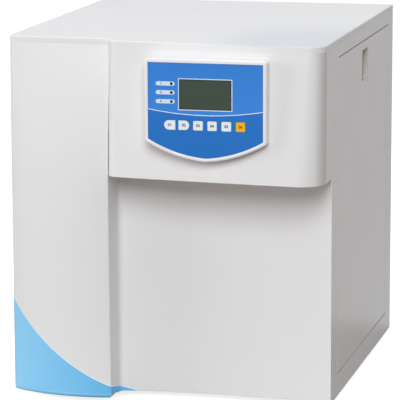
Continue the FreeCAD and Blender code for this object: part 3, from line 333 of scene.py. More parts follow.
def round_edges(piece, radius, segments=2, angle=30, limit="ANGLE"):
    """Rounds a piece's edges, then lets its large faces set the normals, so that they shade
    flat."""
    modify(piece, "BEVEL", width=radius, segments=segments, limit_method=limit, profile=0.5,
           material=-1, angle_limit=math.radians(angle), use_clamp_overlap=True)
    modify(piece, "WEIGHTED_NORMAL", keep_sharp=True, weight=50)


def formed_sheet(columns, rows, place, inside):
    """A grid laid on a form: place(column, share of height) gives each point. Its faces look away
    from inside, which is any point in the hollow behind it."""
    bm = bmesh.new()
    bmesh.ops.create_grid(bm, x_segments=columns, y_segments=rows, size=0.5)
    for vert in bm.verts:
        column = round((vert.co.x + 0.5) * columns)
        vert.co = place(column, vert.co.y + 0.5)
    bm.normal_update()
    away = sum(face.normal.dot(face.calc_center_median() - Vector(inside)) * face.calc_area()
               for face in bm.faces)
    if away < 0:
        bmesh.ops.reverse_faces(bm, faces=bm.faces)
    return bm


WALL = 3.0 * MM
ROUND_MOST = 1.5 * MM     # the Bevel modifier's width, which an edge's weight is a share of
JOINT = 0.08 * MM         # a closed joint stays sharp
HAIRLINE = 0.25 * MM      # a joint that shows as a line
FREE_EDGE = 0.6 * MM
CUT_ANGLE = 60            # edges sharper than this were cut, not formed


def weigh_edges(bm, rounding, angle, formed=()):
    """rounding(point, outer) says how far each edge is rounded, and a bevel weight carries that to
    the Bevel modifier."""
    bm.normal_update()
    weight = bm.edges.layers.float.new("bevel_weight_edge")
    for edge in bm.edges:
        if edge.is_manifold and edge.calc_face_angle() > math.radians(angle):
            outer = all(vert in formed for vert in edge.verts)
            middle = (edge.verts[0].co + edge.verts[1].co) / 2
            edge[weight] = rounding(middle, outer) / ROUND_MOST


def form_cover(name, node, columns, rows, place, inside, rounding, segments=2):
    """A formed sheet that gets its wall inwards and its cut edges rounded, in place of a moulded
    cover."""
    bm = formed_sheet(columns, rows, place, inside)
    formed = set(bm.verts)
    bmesh.ops.solidify(bm, geom=bm.faces[:], thickness=WALL)
    weigh_edges(bm, rounding, CUT_ANGLE, formed)
    cover = finish_piece(bm, name, cover_gloss, "moulded_cover", node, smooth=0)
    round_edges(cover, ROUND_MOST, segments=segments, limit="WEIGHT")
    print(name, "has", len(cover.data.polygons), "faces and", columns + 1, "points across")


print("forming tools ready")

# %% [markdown]
# ## Column
#
# The left part of the front is a tall shell that bellies forward, most at about three fifths of its
# height, and is crowned in plan a little right of its middle. Its bow is an arc through three
# points whose reach falls off with the square of the distance from the belly, which is how a
# draughtsman would spring a batten through the same points. Its lower edge is rolled under by 5 mm.

# %% Column and its return wall
COLUMN_WIDTH = 144 * MM
JAMB = 12 * MM            # where the covers' walls end at the side panel
SEAM = 0.3 * MM
LID_SEAT = 0.05 * MM      # the covers end this far below the lid
half = -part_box("left_side_panel")[0].x
corner_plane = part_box("left_side_panel")[0].y - JAMB - SEAM
z_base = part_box("front_moulding")[0].z
z_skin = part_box("top_cover")[0].z - LID_SEAT
z_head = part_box("head_cover")[0].z
z_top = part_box("top_cover")[1].z
column_right = -half + COLUMN_WIDTH

COLUMN = {"foot": 25 * MM, "belly": 34 * MM, "top": 8 * MM, "belly_height": 290 * MM,
          "right_fall": 7 * MM, "crown": 0.66, "corner_left": 9 * MM, "corner_right": 2 * MM}


def front_point(x, y):
    """A plan point measured from the plane of the front left corner."""
    return x, corner_plane + y


def column_front(z):
    """Three plan points of the column's bow at height z."""
    z_belly = z_base + COLUMN["belly_height"]
    z_end, end = (z_base, COLUMN["foot"]) if z < z_belly else (z_top, COLUMN["top"])
    share = (z - z_belly) / (z_end - z_belly)
    reach = COLUMN["belly"] - (COLUMN["belly"] - end) * share ** 2
    right = -reach + COLUMN["right_fall"] * reach / COLUMN["belly"]
    crest = -half + COLUMN["crown"] * (column_right + half)
    return front_point(-half, 0), front_point(crest, -reach), front_point(column_right, right)


def column_outline(z, proud=0.0, left=0.0):
    """The column from its left jamb round to its right wall. A film stands proud of it, and by left
    on its left wall, which doesn't roll under."""
    return bowed_outline(-half - left, column_right + proud, corner_plane + JAMB,
                         corner_plane + JAMB, [(x, y - proud) for x, y in column_front(z)],
                         COLUMN["corner_left"] + left, COLUMN["corner_right"] + max(proud, 0.0))


FOOT_ROLL = 5 * MM
ROLL_ROWS = 6


def roll_level(i):
    """Height above the foot, and inset, of step i of the rolled lower edge."""
    angle = math.pi / 2 * i / ROLL_ROWS
    return FOOT_ROLL * (1 - math.cos(angle)), FOOT_ROLL * (1 - math.sin(angle))


COLUMN_ROWS = 30
rest_rows = COLUMN_ROWS - ROLL_ROWS
rest_height = z_skin - z_base - FOOT_ROLL
column_levels = [roll_level(i) for i in range(ROLL_ROWS)]
column_levels += [(FOOT_ROLL + rest_height * i / rest_rows, 0.0) for i in range(rest_rows + 1)]
column_plans = [along(column_outline(z_base + rise, -inset)) for rise, inset in column_levels]
column_grid = len(column_plans[0]) - 1
z_closed = z_skin - 2 * MM     # edges above this close against the lid


def column_place(column, share):
    """A point of the column's grid; its rows follow the rolled foot, then the belly."""
    row = round(share * COLUMN_ROWS)
    return Vector((*column_plans[row][column], z_base + column_levels[row][0]))


def cover_rounding(point, outer):
    """A closed joint under the lid, free edges elsewhere, inside and outside alike."""
    return JOINT if point.z > z_closed else FREE_EDGE


form_cover("column_shell", "front_moulding", column_grid, COLUMN_ROWS, column_place,
           (-half + 0.07, corner_plane, 0.25), cover_rounding)

# %% [markdown]
# The wall behind the dispensing bay is dished. It leaves the column's return wall in a 9 mm fillet
# and runs on one long arc to the right side.

# %% Splash wall
SPLASH_LEFT = 24 * MM
SPLASH_RIGHT = 16 * MM
SPLASH_DISH = 12 * MM
SPLASH_FILLET = 9 * MM
SPLASH_ROWS = 20
SPLASH_HIDDEN = 4 * MM     # it runs on this far behind the head's lower edge
splash_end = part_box("front_moulding")[1].x
splash_circle = circle_through(front_point(column_right, SPLASH_LEFT),
                               front_point((column_right + half) / 2,
                                           (SPLASH_LEFT + SPLASH_RIGHT) / 2 + SPLASH_DISH),
                               front_point(half, SPLASH_RIGHT))


def splash_outline(x_end, proud=0.0):
    """Return wall, fillet and dished wall; the arc's centre lies in front, so the wall is its far
    side."""
    cx, cy, radius = splash_circle
    radius -= proud
    x0, r = column_right + proud, SPLASH_FILLET - proud
    fx = x0 + r
    fy = cy + math.sqrt((radius - r) ** 2 - (fx - cx) ** 2)
    root = math.atan2(fy - cy, fx - cx)
    tip = math.atan2(math.sqrt(radius ** 2 - (x_end - cx) ** 2), x_end - cx)
    return [straight(front_point(x0, JAMB), (x0, fy), 3), bend((fx, fy), r, math.pi, root, 8),
            bend((cx, cy), radius, root, tip, 40)]


splash_plan = along(splash_outline(splash_end))
splash_rise = z_head + SPLASH_HIDDEN - z_base


def splash_place(column, share):
    """A point of the splash wall, which is upright all over."""
    return Vector((*splash_plan[column], z_base + splash_rise * share))


form_cover("splash_wall", "front_moulding", len(splash_plan) - 1, SPLASH_ROWS, splash_place,
           (column_right + 0.1, corner_plane + 0.3, 0.2), cover_rounding)

# %% [markdown]
# ## Head
#
# The head overhangs the bay. Its front runs askew, further out on the right, leans back towards the
# top and turns round a large right corner into the side. Both ends stop at a joint line.

# %% Head cover
HEAD = {"left_foot": 36 * MM, "right_foot": 62 * MM, "left_top": 28 * MM, "right_top": 50 * MM,
        "crown": 2 * MM, "corner_left": 16 * MM, "side_seam": 26 * MM, "land": 1 * MM}
head_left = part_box("head_cover")[0].x


def head_outline(z, x_left=head_left):
    """The head at height z, from its left wall round to the joint line on the right side."""
    share = (z - z_head) / (z_top - z_head)
    left = HEAD["left_foot"] + (HEAD["left_top"] - HEAD["left_foot"]) * share
    right = HEAD["right_foot"] + (HEAD["right_top"] - HEAD["right_foot"]) * share
    front = (front_point(head_left, -left),
             front_point((head_left + half) / 2, -(left + right) / 2 - HEAD["crown"]),
             front_point(half, -right))
    cx, cy, radius = circle_through(*front)
    a, b = half - cx, corner_plane - HEAD["side_seam"] - HEAD["land"] - cy
    corner = (radius ** 2 - a ** 2 - b ** 2) / (2 * (radius - a))
    return bowed_outline(x_left, half, corner_plane + JAMB, corner_plane - HEAD["side_seam"],
                         front, HEAD["corner_left"], corner, steps=40)


HEAD_ROWS = 16
LOWER_EDGE = {True: 1.0 * MM, False: 0.4 * MM}     # outside and inside
head_heights = [z_head + (z_skin - z_head) * i / HEAD_ROWS for i in range(HEAD_ROWS + 1)]
head_plans = [along(head_outline(z)) for z in head_heights]


def head_place(column, share):
    """A point of the head's grid, whose rows are level."""
    row = round(share * HEAD_ROWS)
    return Vector((*head_plans[row][column], head_heights[row]))


def head_rounding(point, outer):
    """A softer lower edge, a closed joint under the lid and a hairline one along the right side."""
    if point.z < z_head + WALL:
        return LOWER_EDGE[outer]
    return JOINT if point.z > z_closed else HAIRLINE


form_cover("head_shell", "head_cover", len(head_plans[0]) - 1, HEAD_ROWS, head_place,
           (0.07, corner_plane, 0.4), head_rounding, segments=3)

# %% [markdown]
# ## Lid
#
# One flat lid covers column, head and cabinet, with a step in its front edge where the head starts.
# It is cut as one outline, drawn up by its 8 mm side, and its top edge is rolled over by 1.8 mm.

# %% Top lid
LID_ROLL = 1.8 * MM
OVERRUN = 20 * MM         # the column's bow runs on past the step, and is cut there


def draw_out(bm, way, **settings):
    """Extrudes a flat shape and returns its far points."""
    grown = bmesh.ops.extrude_face_region(bm, geom=bm.faces[:], **settings)["geom"]
    far = [part for part in grown if isinstance(part, bmesh.types.BMVert)]
    bmesh.ops.translate(bm, verts=far, vec=way)
    bmesh.ops.recalc_face_normals(bm, faces=bm.faces)
    return far


lid_low, lid_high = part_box("top_cover")
bow = column_front(lid_low.z)
column_arc = bowed_outline(-half, column_right + OVERRUN, corner_plane + JAMB, corner_plane,
                           bow, COLUMN["corner_left"], COLUMN["corner_right"])
column_edge = [p for p in along(column_arc)[2:] if p[0] < column_right - 0.5 * MM]
cx, cy, radius = circle_through(*bow)
notch = (column_right, cy - math.sqrt(radius ** 2 - (column_right - cx) ** 2))
head_edge = along(head_outline(lid_low.z, x_left=column_right))[2:-2]     # without its side walls
outline = [(-half, lid_high.y), *column_edge, notch, *head_edge, (half, lid_high.y)]
bm = bmesh.new()
bm.faces.new([bm.verts.new((x, y, lid_low.z)) for x, y in outline])
lifted = draw_out(bm, (0, 0, lid_high.z - lid_low.z))
rim = [edge for edge in bm.edges if all(vert in lifted for vert in edge.verts)]
bmesh.ops.bevel(bm, geom=rim, offset=LID_ROLL, segments=5, affect="EDGES", profile=0.5, material=-1)
lid = finish_piece(bm, "lid", lid_lacquer, "moulded_cover", "top_cover", smooth=50)
modify(lid, "WEIGHTED_NORMAL", keep_sharp=True, weight=50)
print("lid:", len(lid.data.polygons), "faces")

# %% [markdown]
# ## Wave film
#
# A printed film wraps the foot of the column. Its upper edge is one hollow arc that starts on the
# left edge and runs down to the right corner. From there it follows a sloping plane, back along the
# return wall and on to the splash wall, where it dies away. Both pieces are formed sheets on the
# same outlines as the covers, 0.3 mm proud, and each column of the grid is only as high as that
# edge at its place.

# %% Edge of the film
FILM_PROUD = 0.3 * MM
FILM_THICK = 0.25 * MM
WAVE_START = 133 * MM
WAVE_END = 17.3 * MM
WAVE_SAG = 6.8 * MM
WAVE_SAG_SHARE = 0.42
WAVE_TAIL = 24 * MM
WAVE_TAIL_DROP = 11.5 * MM
LEAST_HEIGHT = 0.3 * MM
wave_middle = (-half + WAVE_SAG_SHARE * (column_right + half),
               (WAVE_START + WAVE_END) / 2 - WAVE_SAG)
wave_circle = circle_through((-half, WAVE_START), wave_middle, (column_right, WAVE_END))
x_wrap = column_right - COLUMN["corner_right"]
y_wrap = column_front(z_base)[2][1]
fall_back = WAVE_TAIL_DROP / (corner_plane + SPLASH_LEFT + SPLASH_FILLET - y_wrap)
fall_side = (WAVE_END - WAVE_TAIL_DROP) / WAVE_TAIL


def wave_height(x, y):
    """Height of the film's upper edge above the cabinet's underside at a plan point."""
    cx, cz, radius = wave_circle
    arc = cz - math.sqrt(radius ** 2 - (min(x, x_wrap) - cx) ** 2)
    if x <= x_wrap:
        return arc
    return max(arc - fall_back * (y - y_wrap) - fall_side * (x - x_wrap), LEAST_HEIGHT)


print("film edge:", [round(wave_height(x, y_wrap) / MM, 1) for x in (-half, -half + 0.05, x_wrap)],
      "mm")

# %% Film print
# The pale line along the top of the rolled foot is partly stretched film and partly a painted
# highlight.
STRETCH_SHEEN_HEIGHT = 5.6 * MM
STRETCH_SHEEN_WIDTH = 0.9 * MM
STRETCH_SHEEN_FADE = (30 * MM, 60 * MM)     # it is full from the second distance off the left edge
MARGIN = 1.6 * MM
DRIFT_SCALE = 14.0                # clouds of about 70 mm


def film_material(name, light, deep, stretch_sheen, margin):
    """Gloss printed film: a light blue that deepens to the right, a pale line where the film is
    stretched round the rolled foot, partly painted as that turn's highlight, which fades out
    towards the left, and an unprinted margin along the upper edge."""
    material, tree, place = new_material(name)
    parts = add(tree, "SeparateXYZ", {"Vector": place})
    across = add(tree, "MapRange", {
        "Value": parts.outputs["X"], "From Min": -half, "From Max": column_right})
    drift = add(tree, "TexNoise", {"Vector": place, "Scale": DRIFT_SCALE, "Detail": 1.0})
    blend = add(tree, "Math", {0: drift, 1: 0.2, 2: -0.1}, operation="MULTIPLY_ADD")
    blend = add(tree, "Math", {0: across, 1: blend}, operation="ADD", use_clamp=True)
    tint = add(tree, "Mix", {"Factor": blend, 6: colour(light), 7: colour(deep)}, data_type="RGBA")
    # The pale line: partly stretched film, partly a painted highlight at the turn of the rolled
    # foot.
    off = add(tree, "Math", {0: parts.outputs["Z"], 1: z_base + STRETCH_SHEEN_HEIGHT}, operation="SUBTRACT")
    off = add(tree, "Math", {0: off}, operation="ABSOLUTE")
    line = add(tree, "MapRange", {
        "Value": off, "From Min": 0.0, "From Max": STRETCH_SHEEN_WIDTH, "To Min": 0.55, "To Max": 0.0})
    reach = add(tree, "MapRange", {
        "Value": parts.outputs["X"], "From Min": -half + STRETCH_SHEEN_FADE[0],
        "From Max": -half + STRETCH_SHEEN_FADE[1]})
    stretch = add(tree, "Math", {0: line, 1: reach}, operation="MULTIPLY")
    tone = add(tree, "Mix", {
        "Factor": stretch, 6: tint.outputs[2], 7: colour(stretch_sheen)}, data_type="RGBA")
    drop = add(tree, "Attribute", attribute_name="edge_drop")
    bare = add(tree, "MapRange", {
        "Value": drop.outputs["Fac"], "From Min": MARGIN * 0.7, "From Max": MARGIN, "To Min": 1.0,
        "To Max": 0.0})
    tone = add(tree, "Mix", {
        "Factor": bare, 6: tone.outputs[2], 7: colour(margin)}, data_type="RGBA")
    peel = add(tree, "TexNoise", {"Vector": place, "Scale": 1 / (4 * MM)})
    bump = add(tree, "Bump", {"Height": peel, "Distance": 0.006 * MM})
    shader = add(tree, "BsdfPrincipled", {
        "Base Color": tone.outputs[2], "Normal": bump, "Roughness": 0.3,
        "Specular IOR Level": 0.35})
    add(tree, "OutputMaterial", {"Surface": shader})
    return material


wave_print = film_material("printed_blue_film", "93D0F6", "66BBEC", "B9DDF3", "E9F3FB")
print("film print ready")

# %% Film on the column
FILM_ROWS = 20


def film_place(column, share):
    """The rows follow the rolled foot first and then share out the height up to the film's edge."""
    row = round(share * FILM_ROWS)
    x, y = along(column_outline(z_base, FILM_PROUD, FILM_PROUD))[column]
    if row < ROLL_ROWS:
        rise, inset = roll_level(row)
    else:
        climb = (row - ROLL_ROWS) / (FILM_ROWS - ROLL_ROWS)
        rise, inset = FOOT_ROLL + (wave_height(x, y) - FOOT_ROLL) * climb, 0.0
    plan = along(column_outline(z_base + rise, FILM_PROUD - inset, FILM_PROUD))
    return Vector((*plan[column], z_base + rise))


def form_film(name, columns, rows, place, inside):
    """A formed sheet with the film's thickness. Each point notes its drop below the film's edge,
    which the material reads for the margin."""
    bm = formed_sheet(columns, rows, place, inside)
    bmesh.ops.solidify(bm, geom=bm.faces[:], thickness=FILM_THICK)
    drop = bm.verts.layers.float.new("edge_drop")
    for vert in bm.verts:
        vert[drop] = z_base + wave_height(vert.co.x, vert.co.y) - vert.co.z
    film = finish_piece(bm, name, wave_print, "wave_print", "wave_film", smooth=60)
    print(name, "has", len(film.data.polygons), "faces")


form_film("wave_print", column_grid, FILM_ROWS, film_place, (-half + 0.07, corner_plane, 0.1))

# %% Tail of the film on the splash wall
TAIL_ROWS = 4
tail_plan = along(splash_outline(column_right + WAVE_TAIL, FILM_PROUD))


def tail_place(column, share):
    """A point of the tail, as high at each place as the film's edge."""
    x, y = tail_plan[column]
    return Vector((x, y, z_base + wave_height(x, y) * share))


# The tail lies in a hollow bend, so its form is taken from the bay's side and it thickens forwards.
form_film("wave_print_tail", len(tail_plan) - 1, TAIL_ROWS, tail_place,
          (column_right + 0.05, corner_plane - 0.02, 0.02))

# %% [markdown]
# ## Sheet metal and small parts
#
# A CAD piece with the right shape only needs what machining leaves out: the rounded edge. Its mesh
# is copied, its doubled points are merged, its coplanar triangles are dissolved, and a narrow bevel
# is added, so each edge catches a line of light.

# %% Dressing a CAD piece
DOUBLES = 0.002 * MM
FLAT_ANGLE = 0.4          # degrees between two triangles of one flat face, at most


def dress(node, material, slot, edge, body="cabinet", segments=2, smooth=30, under_lid=False):
    """A clean copy of a CAD piece with rounded edges and its finish; it replaces the CAD piece.
    edge is one width for all edges, or a function of place; a panel under the lid is drawn up to
    close that joint."""
    bm = bmesh.new()
    bm.from_mesh(nodes[node].data)
    bmesh.ops.remove_doubles(bm, verts=bm.verts, dist=DOUBLES)
    bmesh.ops.dissolve_limit(bm, verts=bm.verts, edges=bm.edges,
                             angle_limit=math.radians(FLAT_ANGLE))
    bmesh.ops.recalc_face_normals(bm, faces=bm.faces)
    if under_lid:
        top = max(vert.co.z for vert in bm.verts)
        for vert in bm.verts:
            if top - vert.co.z < LID_SEAT:
                vert.co.z = z_skin
    if callable(edge):
        weigh_edges(bm, edge, smooth)
    piece = finish_piece(bm, node + "_dressed", material, slot, node, body=body,
                         smooth=0 if edge else smooth)
    if callable(edge):
        round_edges(piece, ROUND_MOST, segments=segments, limit="WEIGHT")
    elif edge:
        round_edges(piece, edge, segments=segments, angle=smooth)


PAINTED_EDGE = 0.5 * MM
SILL_GAP = 2 * MM         # from the sill up to the door
NEAR = 0.3 * MM
z_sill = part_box("service_door")[0].z - SILL_GAP


def panel_rounding(point, outer):
    """Paint's small radius; a closed joint under the lid, and a full radius on the sill below the
    door."""
    if point.z > z_skin - 1 * MM:
        return JOINT
    if abs(point.z - z_sill) < NEAR and point.x > half - NEAR:
        return ROUND_MOST
    return PAINTED_EDGE


for node in ("left_side_panel", "right_side_frame", "rear_panel"):
    dress(node, powder_coat, "painted_sheet", panel_rounding, under_lid=True)
dress("base_tray", powder_coat, "painted_sheet", 0.4 * MM)
dress("service_door", powder_coat, "painted_sheet", PAINTED_EDGE, body="door")
dress("pull_cup", grip_plastic, "moulded_cover", 0.8 * MM, body="door")
dress("head_floor", cover_gloss, "moulded_cover", 0.5 * MM)

# %% [markdown]
# ## Control panel
#
# A white moulded bezel stands out of the head and holds a printed overlay. The print is two blues
# that meet under a thin white arc. The two-tone is drawn in the overlay's material from the
# distance to the arc's centre, and the white lines and tablets are printed on top as very thin
# pieces.

# %% Panel sizes
overlay_low, overlay_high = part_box("panel_overlay")
PANEL_LEFT, PANEL_TOP = overlay_low.x, overlay_high.z
PANEL_FRONT = overlay_low.y
panel_width = overlay_high.x - overlay_low.x
ARC_END_DROP = 61.4 * MM
ARC_MIDDLE_DROP = 68.3 * MM
arc_circle = circle_through((PANEL_LEFT, PANEL_TOP - ARC_END_DROP),
                            (PANEL_LEFT + panel_width / 2, PANEL_TOP - ARC_MIDDLE_DROP),
                            (PANEL_LEFT + panel_width, PANEL_TOP - ARC_END_DROP))
print("panel", round(panel_width, 4), "wide; arc radius", round(arc_circle[2], 3))

# %% Overlay, bezel and keys
def overlay_material(name, upper, lower, upper_deep, lower_deep):
    """Screen-printed polyester: a lighter blue inside the arc's circle, a deeper blue below it,
    each changing a little in tone from top to bottom.
    """
    material, tree, place = new_material(name)
    flat = add(tree, "VectorMath", {0: place, 1: (1.0, 0.0, 1.0)}, operation="MULTIPLY")
    reach = add(tree, "VectorMath", {
        0: flat, 1: (arc_circle[0], 0.0, arc_circle[1])}, operation="DISTANCE")
    below = add(tree, "Math", {
        0: reach.outputs["Value"], 1: arc_circle[2]}, operation="GREATER_THAN")
    parts = add(tree, "SeparateXYZ", {"Vector": place})
    fall = add(tree, "MapRange", {
        "Value": parts.outputs["Z"], "From Min": PANEL_TOP, "From Max": overlay_low.z})
    top_tone = add(tree, "Mix", {
        "Factor": fall, 6: colour(upper_deep), 7: colour(upper)}, data_type="RGBA")
    low_tone = add(tree, "Mix", {
        "Factor": fall, 6: colour(lower_deep), 7: colour(lower)}, data_type="RGBA")
    tone = add(tree, "Mix", {
        "Factor": below, 6: top_tone.outputs[2], 7: low_tone.outputs[2]}, data_type="RGBA")
    grain = add(tree, "TexNoise", {"Vector": place, "Scale": 1 / (0.6 * MM), "Detail": 2.0})
    bump = add(tree, "Bump", {"Height": grain, "Distance": 0.006 * MM})
    shader = add(tree, "BsdfPrincipled", {
        "Base Color": tone.outputs[2], "Normal": bump, "Roughness": 0.42,
        "Specular IOR Level": 0.25})
    add(tree, "OutputMaterial", {"Surface": shader})
    return material


# The overlay's film is matte; from the top of the panel to the bottom its upper blue grows a little
# lighter and its lower blue a little deeper.
overlay_print = overlay_material("printed_polyester_overlay", "4189E1", "226FC0", "337DD1",
                                 "2774C8")
# Gloss ABS bezel: whiter and shinier than the cover that it stands on.
bezel_gloss = skin_material("gloss_bezel_abs", "E8E8EA", "E5E5E7", 3.0, 0.004, 0.28, coat=0.2)
# Screen inks: flat, opaque and almost without shine.
pale_print = skin_material("pale_screen_print", "D3E3F2", "CBDDEE", 1.0, 0.002, 0.45)
white_print = skin_material("white_screen_print", "EEF4FB", "E6EEF7", 1.0, 0.002, 0.45)
dark_print = skin_material("dark_screen_print", "2E353F", "272D36", 1.0, 0.002, 0.5)
# Moulded key caps: satin, so they read as buttons beside the flat print.
key_pale = skin_material("pale_key_plastic", "E8EFF8", "DFE8F3", 1.2, 0.004, 0.42)
key_amber = skin_material("amber_key_plastic", "F2B814", "EBB010", 1.2, 0.004, 0.45, specular=0.1)
# Smoked lens plastic: nearly black, with a small bright highlight.
lamp_lens = skin_material("smoked_lamp_lens", "1C1416", "120D0E", 1.0, 0.002, 0.18)

KEYS = 6                  # the last of them is the amber one
dress("panel_bezel", bezel_gloss, "bezel_plastic", 0.0, smooth=40)
dress("panel_overlay", overlay_print, "overlay_print", 0.0)
for i in range(1, KEYS + 1):
    plastic, slot = (key_amber, "key_amber") if i == KEYS else (key_pale, "key_pale")
    dress("key_%d" % i, plastic, slot, 0.35 * MM, body="keycap_%d" % i, segments=3)
print("panel pieces dressed")

# %% [markdown]
# ## Display window
#
# Behind the clear window lies a reflective LCD, which looks grey-green when nothing is lit. Glass
# and display could be two pieces, but at this size only the tone, a faint grid of dots and the
# shaded rim are seen, so one material draws all three on the window's own front.

# %% Display window
DOT_PITCH = 0.55 * MM
window_low, window_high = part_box("lcd_window")


def display_material(name, glass, edge_tone, rim):
    """A dark grey-green display under its window, with a faint grid of dots and a darker rim, which
    is partly the display's dark frame and partly painted shade from the window's recess.
    """
    material, tree, place = new_material(name)
    centre = (window_low + window_high) / 2
    shift = add(tree, "VectorMath", {0: place, 1: (centre.x, 0.0, centre.z)}, operation="SUBTRACT")
    size = add(tree, "VectorMath", {0: shift}, operation="ABSOLUTE")
    parts = add(tree, "SeparateXYZ", {"Vector": size})
    masks = []
    # The darker rim: partly the display's frame, partly painted shade from the window's recess.
    for axis, end in (("X", window_high.x - centre.x), ("Z", window_high.z - centre.z)):
        masks.append(add(tree, "MapRange", {
            "Value": parts.outputs[axis], "From Min": end - rim, "From Max": end - 0.2 * rim}))
    border = add(tree, "Math", {0: masks[0], 1: masks[1]}, operation="MAXIMUM")
    dots = add(tree, "TexVoronoi", {
        "Vector": place, "Scale": 1 / DOT_PITCH, "Randomness": 0.0}, distance="CHEBYCHEV")
    field = add(tree, "MapRange", {
        "Value": dots.outputs["Distance"], "From Min": 0.38, "From Max": 0.5, "To Min": 0.0,
        "To Max": 0.25})
    cells = add(tree, "Mix", {
        "Factor": field, 6: colour(glass), 7: colour(edge_tone)}, data_type="RGBA")
    tone = add(tree, "Mix", {
        "Factor": border, 6: cells.outputs[2], 7: colour(edge_tone)}, data_type="RGBA")
    shader = add(tree, "BsdfPrincipled", {
        "Base Color": tone.outputs[2], "Roughness": 0.35, "Specular IOR Level": 0.3})
    add(tree, "OutputMaterial", {"Surface": shader})
    return material


display_face = display_material("grey_green_display", "3D4B40", "2A322F", 2.0 * MM)
dress("lcd_window", display_face, "display_glass", 0.2 * MM)
print("window", [round(v / MM, 1) for v in window_high - window_low], "mm")

# %% [markdown]
# ## Print on the overlay
#
# The printed marks are five hundredths of a millimetre thick, so they read as ink. Tablets are
# grown from a grid face with rounded ends, the frame round the window is an inset, and the white
# arc is a short edge spun about the same centre that the overlay's two blues use.

# %% Printed shapes
INK = 0.05 * MM
UPRIGHT = Matrix.Rotation(math.pi / 2, 3, "X")     # from lying flat to facing the front


def print_piece(bm, name, material, slot="overlay_print", body="cabinet", front=PANEL_FRONT):
    """Stands a flat shape, drawn in X and Z, on a front face and gives it an ink's thickness."""
    bmesh.ops.recalc_face_normals(bm, faces=bm.faces)
    for vert in bm.verts:
        vert.co.y = front
    draw_out(bm, (0, -INK, 0), use_keep_orig=True)
    finish_piece(bm, name, material, slot, body=body)


def upright_grid(x, z, width, height):
    """A flat rectangle facing the front, centred at x, z."""
    bm = bmesh.new()
    bmesh.ops.create_grid(bm, x_segments=1, y_segments=1, size=0.5)
    bmesh.ops.scale(bm, vec=(width, height, 1), verts=bm.verts)
    bmesh.ops.rotate(bm, matrix=UPRIGHT, verts=bm.verts)
    bmesh.ops.translate(bm, vec=(x, PANEL_FRONT, z), verts=bm.verts)
    return bm


LIGHT_DROPS = (27.6 * MM, 39.2 * MM, 51.0 * MM)
TABLET = {"left": 10.6 * MM, "right": 36.1 * MM, "height": 5.5 * MM}
TABLET_ROUND = 0.49 * TABLET["height"]     # just short of half, so no corner closes on the next
middle = PANEL_LEFT + (TABLET["left"] + TABLET["right"]) / 2
for i, drop in enumerate(LIGHT_DROPS, 1):
    bm = upright_grid(middle, PANEL_TOP - drop, TABLET["right"] - TABLET["left"], TABLET["height"])
    bmesh.ops.bevel(bm, geom=bm.verts, offset=TABLET_ROUND, segments=8, affect="VERTICES",
                    profile=0.5, material=-1)
    print_piece(bm, "tablet_print_%d" % i, pale_print)
print("tablets printed")

# %% Frame round the window and the white arc
FRAME_REACH = 1.3 * MM
FRAME_LINE = 0.9 * FRAME_REACH     # a thin line of blue stays between it and the window
centre, size = (window_low + window_high) / 2, window_high - window_low
bm = upright_grid(centre.x, centre.z, size.x + 2 * FRAME_REACH, size.z + 2 * FRAME_REACH)
inner = bm.faces[:]
bmesh.ops.inset_region(bm, faces=inner, thickness=FRAME_LINE, use_boundary=True,
                       use_even_offset=True)
bmesh.ops.delete(bm, geom=inner, context="FACES")
print_piece(bm, "window_frame_print", pale_print)

ARC_LINE = 0.9 * MM
ARC_INSET = 0.4 * MM
bm = bmesh.new()
start = Vector((PANEL_LEFT + ARC_INSET, 0, PANEL_TOP - ARC_END_DROP))
centre = Vector((arc_circle[0], 0, arc_circle[1]))
outward = (start - centre).normalized()
ends = [bm.verts.new(centre + outward * (arc_circle[2] + s * ARC_LINE / 2)) for s in (-1, 1)]
sweep = 2 * math.asin((panel_width / 2 - ARC_INSET) / arc_circle[2])
bmesh.ops.spin(bm, geom=[*ends, bm.edges.new(ends)], cent=centre, axis=(0, 1, 0), angle=-sweep,
               steps=40, use_merge=False)
print_piece(bm, "divider_arc_print", white_print)
print("divider sweeps", round(math.degrees(sweep), 1), "degrees")

# %% Numbers on the keys and tablets
BOLDER = 0.14 * MM        # each stroke's edge grows by this much
KEY_NUMBER = 5.2 * MM     # type sizes
TABLET_NUMBER = 4.2 * MM
NUMBER_INSET = 17.4 * MM


def number(text, name, x, z, height, **place):
    """A plain number, made a mesh and stood on a front face."""
    curve = bpy.data.curves.new(name, "FONT")
    curve.body = text
    curve.size = height
    curve.offset = BOLDER
    curve.align_x, curve.align_y = "CENTER", "CENTER"
    curve.resolution_u = 3
    holder = into_scene(name, curve)
    bpy.context.view_layer.update()
    flat = bpy.data.meshes.new_from_object(holder)
    bpy.data.objects.remove(holder)
    bm = bmesh.new()
    bm.from_mesh(flat)
    bmesh.ops.remove_doubles(bm, verts=bm.verts, dist=0.001 * MM)
    bmesh.ops.rotate(bm, matrix=UPRIGHT, verts=bm.verts)
    bmesh.ops.translate(bm, vec=(x, 0, z), verts=bm.verts)
    print_piece(bm, name, dark_print, **place)


for i in range(1, KEYS + 1):
    low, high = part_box("key_%d" % i)
    number("%02d" % i, "key_number_%d" % i, (low.x + high.x) / 2, (low.z + high.z) / 2, KEY_NUMBER,
           front=low.y, slot="key_pale", body="keycap_%d" % i)
for i, drop in enumerate(LIGHT_DROPS, 1):
    number(str(i), "tablet_number_%d" % i, PANEL_LEFT + NUMBER_INSET, PANEL_TOP - drop,
           TABLET_NUMBER, front=PANEL_FRONT - INK)
print("numbers printed")

# %% [markdown]
# ## Indicator lamps
#
# A panel lamp is a small moulded lens pressed onto its stem. Only its cap shows, which is a ball
# flattened along Y to a low dome, dark because the lens is smoked and the lamp behind it is off.

